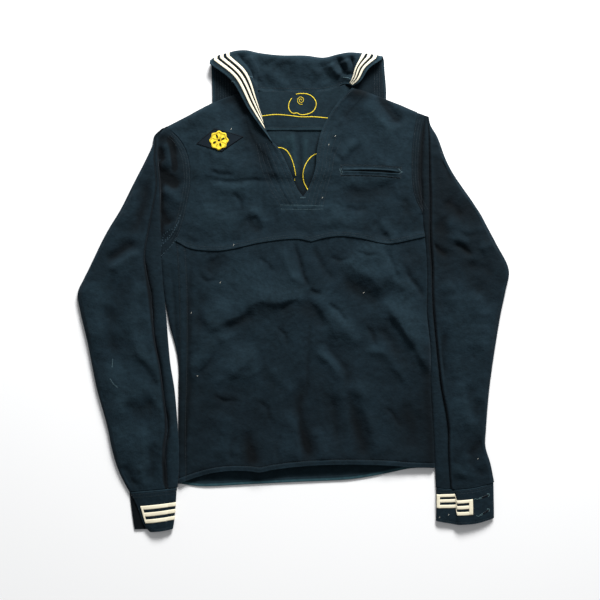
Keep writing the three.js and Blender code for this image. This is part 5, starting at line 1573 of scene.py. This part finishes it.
PATCH_CORNERS = np.array([[-167.5, 257.5], [-136, 283.5], [-87, 269.5], [-124, 243.5]])
u, v = np.meshgrid(stops(55, 2.2, ROUND_EDGE, ROUND_EDGE), stops(44, 2.2, ROUND_EDGE, ROUND_EDGE))
patch_xy = (mix(mix(PATCH_CORNERS[0], PATCH_CORNERS[1], u[..., None]),
                mix(PATCH_CORNERS[3], PATCH_CORNERS[2], u[..., None]), v[..., None]))
patch = laid_strip("patch_felt", patch_xy[::-1], ["yoke_cloth"], 0.8, PATCH_FELT, gap=0.1)
MOTIF = {"x": -128.8, "y": 262.6, "petals": 8}


def ring(radius, count=72, wave=0.0, petals=0):
    angle = np.linspace(0, 2 * math.pi, count + 1)
    r = radius + wave * np.cos(petals * angle)
    return np.stack([MOTIF["x"] + r * np.cos(angle), MOTIF["y"] + r * np.sin(angle)], -1)


motif_radii = np.array([2.2, 2.6, 4, 6, 8, 10, 12, 14, 15.4, 16])
motif_xy = np.stack([ring(r, 90, 1.1 * (r / 16) ** 3, MOTIF["petals"]) for r in motif_radii])
motif_crown = (0.7 * np.exp(-((motif_radii - 6) / 3.2) ** 2)
               + 0.5 * np.exp(-((motif_radii - 14.4) / 1.4) ** 2))[:, None]
motif = laid_strip("motif_ground", motif_xy[::-1], ["patch_felt", "yoke_cloth"], 0.8, YELLOW_THREAD,
                   crown=motif_crown[::-1])

# The sewing: for each kind of row the spacing, length and width of its stitches, and for some the height
BODY = ["front_cloth", "yoke_cloth"]
WELTS = ["pocket_welt_upper_cloth", "pocket_welt_lower_cloth"]
INSIDE = ["back_cloth", "neck_facing_cloth"]
MENDED = ["sleeve_left_cloth", "yoke_cloth", "front_cloth"]
SEAM = (2.9, 2.3, 0.75)
CHAIN = (2.1, 2.9, 1.25, 0.9)
ACROSS = math.pi / 2

def rows_on(names, lines, step=1.5):
    return [pieces.lay(spaced(np.array(line, float), step), names) for line in lines]

def beside_line(line, off):
    """The line that runs beside another at a distance, on its left."""
    turn = np.gradient(line, axis=0)
    turn /= np.maximum(np.linalg.norm(turn, axis=1, keepdims=True), 1e-9)
    return line + off * np.stack([-turn[:, 1], turn[:, 0]], -1)

def wall_rows(wall, runs, raised=0.05):
    return [wall.at(u, v, raised) for u, v in runs]

pocket_edge = []
for side in (1, -1):
    x = np.linspace(83, 188, 50)
    pocket_edge += [np.stack([x, pocket_line(x) + side * off], -1) for off in (8.1, 9.9)]
for x in (83, 85, 186.5, 188.5):
    pocket_edge.append(np.array([[x, pocket_line(x) - 8], [x, pocket_line(x) + 8]], float))
body_rows = [
    *YOKE_ROWS, beside_line(SIDE_SEAM, 6.2), beside_line(SIDE_SEAM, -6.2), *PLACKET_LEFT, *PLACKET_RIGHT,
    beside_line(FRONT_HEM, HEM_TURN)[20:-20], beside_line(V_LEFT[:130], 3.0),
    beside_line(V_RIGHT[:150], -3.0)]
seam_stitches = sewn("seam_stitches", rows_on(BODY, body_rows), NAVY_THREAD, *SEAM, uneven=0.12)
pocket_stitches = sewn("pocket_stitches", rows_on([*BODY, *WELTS], pocket_edge), NAVY_THREAD,
                       2.6, 2.2, 0.85, uneven=0.15)
arm_rows = [beside_line(LEFT_ARMHOLE[20:-10], off) for off in (3, 7.5, 12)]
arm_rows += [beside_line(RIGHT_ARMHOLE[4:-6], -off) for off in (3, 7.5, 12)]
arm_stitches = sewn("armhole_stitches", rows_on(["sleeve_left_cloth", "sleeve_right_cloth"], arm_rows),
                    NAVY_THREAD, *SEAM, uneven=0.12)
inside_rows = [beside_line(BACK_HEM, HEM_TURN)[60:-60], [(-40, 285.4), (12, 288), (52, 285.5)]]
inside_stitches = sewn("inside_stitches", rows_on(INSIDE, inside_rows), NAVY_THREAD, *SEAM, uneven=0.12)
edge_stages = np.linspace(0.02, 2.97, 200)
collar_rows = [(np.linspace(0.215, 0.8, 160), np.full(160, stage)) for stage in (0.03, 0.1)]
edge_share = EDGE_ROW / FLAP_WIDE
collar_rows += [(np.full(200, share), edge_stages) for share in (edge_share, 1 - edge_share)]
collar_rows.append((np.linspace(0.014, 0.986, 200), np.full(200, 3 - EDGE_ROW / FLAP["deep"])))
collar_stitches = sewn("collar_stitches", wall_rows(collar_wall, collar_rows), NAVY_THREAD, *SEAM, uneven=0.1)
flap_lines = [[(x, 396), (x + 1, 322)] for x in np.arange(-136, -104, 4.4)]
flap_lines += [[(x, 402), (x + 1, 322)] for x in np.arange(142, 162, 4.4)]
flap_stitches = sewn("flap_stitches", rows_on(["collar_cloth"], flap_lines), NAVY_THREAD, 2.9, 2.3, 0.8,
                     uneven=0.1)
tape_stages = np.linspace(0.13, 2.62, 220)
tape_runs = []
for number in range(3):
    for inside in (0.7, TAPE["width"] - 0.7):
        share = (TAPE["margin"] + number * TAPE["pitch"] + inside) / FLAP_WIDE
        tape_runs += [(np.full(220, share), tape_stages), (np.full(220, 1 - share), tape_stages)]
tape_stitches = sewn("tape_stitches", wall_rows(collar_wall, tape_runs, 0.15 + TAPE["thick"]), WHITE_THREAD,
                     2.4, 1.9, 0.45, uneven=0.06)
cuff_rows = []
for wall, start in ((left_cuff, 0.1), (right_cuff, 3.4)):
    run = np.linspace(start, 8.9, 120)
    cuff_rows += wall_rows(wall, [(run, np.full(120, v)) for v in (0.06, 0.94, 0.13)])
cuff_stitches = sewn("cuff_stitches", cuff_rows, NAVY_THREAD, 2.9, 2.3, 0.7, uneven=0.12)
tab_stitches = sewn("tab_stitches", rows_on(BODY, TAB_ROWS), TACK_THREAD, 2.6, 2.4, 1.1, uneven=0.5)

# Short marks and bar tacks: on the left sleeve, at the slash's foot, on the collar, at the pocket's ends
tack_lines = [
    [(-314, -118), (-314.5, -132)], [(-318, -152), (-312, -161), (-305, -167)], [(13, 163), (21.5, 163.4)],
    [(-107, 365.5), (-101, 362.5)], [(-79, 373), (-70, 372)], [(88, 373), (97, 372), (101, 368), (102, 362)],
    [(81.5, 213), (84.5, 204)], [(84, 214), (86.5, 206)], [(183.5, 213.5), (190, 208)],
    [(184, 204.5), (190, 207.5)]]
tacks = sewn("bar_tacks", rows_on([*BODY, "sleeve_left_cloth", "collar_cloth", *WELTS], tack_lines, 0.7),
             TACK_THREAD, 0.8, 2.2, 0.75, turn=ACROSS, uneven=0.2)

# Yellow chain stitch inside the neck, on the facing and the back
oval = smooth_line([(6, 344), (12, 345), (24, 344.5), (32, 341), (38.5, 334), (40.5, 326), (36, 315),
                    (24, 309), (12, 308.5), (8, 311), (-1, 311), (-7, 318), (-7, 328), (-3, 336)])
chain_lines = [
    smooth_line([(-54, 306), (-30, 308.5), (-4, 306.5), (12, 304.5), (36, 304.5), (59.5, 302.5)]), oval,
    smooth_line([(-27, 251), (-20, 250.5), (-12, 246.5), (-5, 237), (0, 224.5), (3, 213), (4.5, 203)]),
    smooth_line([(42, 241), (33, 236), (25, 227), (19.5, 215), (17.5, 203), (19.5, 190), (26, 177.5)])]
chain = rows_on(INSIDE, chain_lines, 1.2)
yellow_left = sewn("chain_stitch_left", chain, YELLOW_THREAD, *CHAIN, turn=0.42, raised=0.35)
yellow_right = sewn("chain_stitch_right", chain, YELLOW_THREAD, *CHAIN, turn=-0.42, raised=0.35)
turns = np.linspace(0, 3.6 * math.pi, 60)
spiral = np.stack([14 + (1.2 + turns * 0.52) * np.cos(turns),
                   333.5 + (1.2 + turns * 0.56) * np.sin(turns)], -1)
dots = [[(3, 196), (3, 194)], [(2, 190), (2, 188.5)]]
rosette = sewn("neck_rosette", rows_on(INSIDE, [spiral, *dots], 0.8), YELLOW_THREAD, 1.4, 2.0, 1.1, 0.9,
               turn=0.3, raised=0.35)

def spoke(k, radii):
    """A line outwards from the middle of the motif on the patch."""
    angle = 2 * math.pi * (k + 0.5) / MOTIF["petals"]
    return np.array([[MOTIF["x"] + r * math.cos(angle), MOTIF["y"] + r * math.sin(angle)] for r in radii])

# The motif on the patch: satin stitches in rings and petals, and the patch's satin edge
satin = rows_on(["motif_ground"], [ring(14.4, 90, 0.9, MOTIF["petals"]), ring(3.2, 40)], 0.8)
motif_ring = sewn("motif_satin_ring", satin, YELLOW_THREAD, 0.75, 3.0, 0.62, 0.6, turn=ACROSS, raised=0.15,
                  uneven=0.05)
petal_lines = [spoke(k, np.linspace(4.6, 11.8, 12)) for k in range(MOTIF["petals"])]
motif_petals = sewn("motif_satin_petals", rows_on(["motif_ground"], petal_lines, 0.7), YELLOW_THREAD,
                    0.7, 3.4, 0.62, 0.6, turn=math.pi / 2.4, raised=0.2, uneven=0.05)
gap_lines = [spoke(k, (6, 9.6)) for k in range(0, MOTIF["petals"], 2)]
motif_gaps = sewn("motif_dark_gaps", rows_on(["motif_ground"], gap_lines, 0.8), DARK_THREAD,
                  0.8, 2.4, 2.8, 1.0, raised=1.0)
steps = np.linspace(0, 1, 24)[:, None]
patch_outline = [mix(PATCH_CORNERS[k], PATCH_CORNERS[(k + 1) % 4], steps) for k in range(4)]
patch_edge = sewn("patch_edge", rows_on(["patch_felt", "yoke_cloth"], patch_outline, 1.0), DARK_THREAD,
                  0.9, 2.4, 0.8, 0.7, turn=ACROSS, raised=0.1, uneven=0.08)

# Mends at the left underarm, buttonholes on the right cuff, and loose ends
mend_lines = [[(-197, 132), (-205, 112), (-218, 105), (-226, 97), (-230, 80)],
              [(-205, 88), (-216, 76), (-229, 63)], [(-200, 120), (-212, 98), (-226, 84)],
              [(-206, 108), (-222, 90)]]
mend_rows = rows_on(MENDED, [smooth_line(line) for line in mend_lines])
mends = sewn("mends", mend_rows, BLUE_THREAD, 4.6, 2.9, 0.6, turn=0.4, uneven=0.5, raised=0.1)
BUTTONHOLES = np.array([[(325, -361), (339.5, -355.5)], [(327, -390), (340, -382)]], float)
hole_lines = []
for start, eye in BUTTONHOLES:
    turn = (eye - start) / np.linalg.norm(eye - start)
    normal = np.array([-turn[1], turn[0]])
    angles = np.linspace(math.radians(215), math.radians(-35), 14)
    loop = [eye + 2.9 * (math.cos(a) * normal + math.sin(a) * turn) for a in angles]
    hole_lines.append(smooth_line([start - 0.9 * normal, eye - 1.2 * normal, *loop[2:-2],
                                   eye + 1.2 * normal, start + 0.9 * normal], 6))
# Dark thread laid along each buttonhole's slit and across its eye: painted shade of the opening.
slit_shade_lines = [[mix(start, eye, 0.35), eye] for start, eye in BUTTONHOLES]
slit_shade_lines += [[eye - (1.2, 0), eye + (1.2, 0)] for _, eye in BUTTONHOLES]
slit_shade = sewn("buttonhole_slit_shade", rows_on(["cuff_right_cloth"], slit_shade_lines, 0.5), DARK_THREAD,
             0.6, 2.6, 2.2, 0.8, turn=ACROSS, raised=0.5)
buttonholes = sewn("buttonholes", rows_on(["cuff_right_cloth"], hole_lines, 0.8), TEAL_THREAD,
                   0.8, 1.5, 0.75, turn=ACROSS, uneven=0.1, raised=0.05)
tails = [[(325, -361), (321, -362.5), (318, -361), (316, -362.5)], [(327, -390), (323, -392), (320, -391)]]
tail_rows = rows_on(["cuff_right_cloth"], [smooth_line(line) for line in tails], 0.8)
thread_tails = sewn("thread_tails", tail_rows, TEAL_THREAD, 1.2, 2.2, 0.8, uneven=0.6, raised=0.3)

# A few specks of white lint
specks = [(-127, 15), (-178, -38), (-167, -148), (-104, 80), (123, -3), (-108, 282), (51, 163), (73, 270),
          (62, 255), (322, -292), (271, -390.5), (255, -395)]
speck_lines = [[(x, y), (x + 0.9, y + 1.3)] for x, y in specks]
lint = sewn("lint", rows_on([*BODY, "sleeve_right_cloth", "cuff_right_cloth"], speck_lines, 0.8),
            WHITE_THREAD, 1.6, 1.6, 0.7, uneven=0.7, raised=0.2)

# Every piece stands for its CAD solid, which is hidden. The table also gives each piece's slot, flat size,
# area and the pieces it rests on.
SHEETS = [
    (back, "back", "wool_inside", (0.47, 0.7), 0.29, []),
    (front, "front", "wool", (0.48, 0.43), 0.187, ["back"]),
    (yoke, "yoke", "wool", (0.46, 0.29), 0.0925, ["back"]),
    (neck_facing, "neck_facing", "wool_inside", (0.2, 0.075), 0.0125, ["back"]),
    (slash_facing, "slash_facing", "wool_inside", (0.2, 0.06), 0.0077, ["yoke"]),
    (collar, "collar", "wool", (0.37, 0.28), 0.0775, ["back"]),
    (sleeve_left, "sleeve_left", "wool", (0.3, 0.64), 0.157, []),
    (sleeve_right, "sleeve_right", "wool", (0.3, 0.66), 0.14, []),
    (cuff_left, "cuff_left", "wool", (0.17, 0.072), 0.0105, ["cuff_tape_left"]),
    (cuff_right, "cuff_right", "wool", (0.21, 0.07), 0.0128, []),
    (patch, "patch", "patch_cloth", (0.081, 0.04), 0.0017, ["yoke"]),
]
for piece, node_name, slot, flat, area, rests in SHEETS:
    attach(piece, "root")
    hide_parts(node_name)
LAID = [(collar_tapes[0], "collar_tape_1", "tape"), (collar_tapes[1], "collar_tape_2", "tape"),
        (collar_tapes[2], "collar_tape_3", "tape"), (cuff_tape_left, "cuff_tape_left", "tape"),
        (cuff_tape_right, "cuff_tape_right", "tape"), (welts[0], "pocket_welt_upper", "wool"),
        (welts[1], "pocket_welt_lower", "wool"), (motif, "patch_motif", "embroidery")]
for piece, node_name, slot in LAID:
    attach(piece, "root")
    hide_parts(node_name)
SEWN = {
    "wool": [seam_stitches, pocket_stitches, arm_stitches, inside_stitches, collar_stitches, flap_stitches,
             cuff_stitches, tab_stitches, tacks, mends, buttonholes, thread_tails, slit_shade, lint],
    "tape": [tape_stitches],
    "embroidery": [yellow_left, yellow_right, rosette, motif_ring, motif_petals],
    "patch_cloth": [motif_gaps, patch_edge],
}
for slot, stitches in SEWN.items():
    for piece in stitches:
        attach(piece, "root")

# The floor, the light and the camera
floor_mesh = bpy.data.meshes.new("floor")
floor_mesh.from_pydata([(-4, -4, 0), (4, -4, 0), (4, 4, 0), (-4, 4, 0)], [], [(0, 1, 2, 3)])
floor = bpy.data.objects.new("floor", floor_mesh)
bpy.context.scene.collection.objects.link(floor)
paper = Finish("white paper")
floor_mesh.materials.append(paper.finish({
    "Base Color": (0.93, 0.93, 0.93, 1), "Roughness": 0.9, "Specular IOR Level": 0.1}))


def lamp(name, kind, place, target, energy, **settings):
    light = bpy.data.lights.new(name, kind)
    light.energy = energy
    for key, value in settings.items():
        setattr(light, key, value)
    made = bpy.data.objects.new(name, light)
    made.location = place
    made.rotation_euler = (Vector(target) - Vector(place)).to_track_quat("-Z", "Y").to_euler()
    bpy.context.scene.collection.objects.link(made)


lamp("sky", "SUN", (0.3, 1.1, 0.6), (0, 0, 0), 2.4, angle=math.radians(16))
lamp("window", "AREA", (0.4, 1.7, 0.92), (0, 0, 0), 56, shape="RECTANGLE", size=0.9, size_y=0.5)
world = bpy.data.worlds.new("studio")
world.use_nodes = True
world.node_tree.nodes["Background"].inputs["Color"].default_value = (0.96, 0.98, 1, 1)
world.node_tree.nodes["Background"].inputs["Strength"].default_value = 0.3
bpy.context.scene.world = world
bpy.context.scene.view_settings.view_transform = "Standard"

CAMERA_HEIGHT = 2.2
PICTURE_WIDE = 1.05
camera = bpy.data.cameras.new("camera")
camera.sensor_width = 36
camera.lens = camera.sensor_width * CAMERA_HEIGHT / PICTURE_WIDE
camera_object = bpy.data.objects.new("camera", camera)
camera_object.location = (0.01225, -0.015, CAMERA_HEIGHT)
bpy.context.scene.collection.objects.link(camera_object)
bpy.context.scene.camera = camera_object
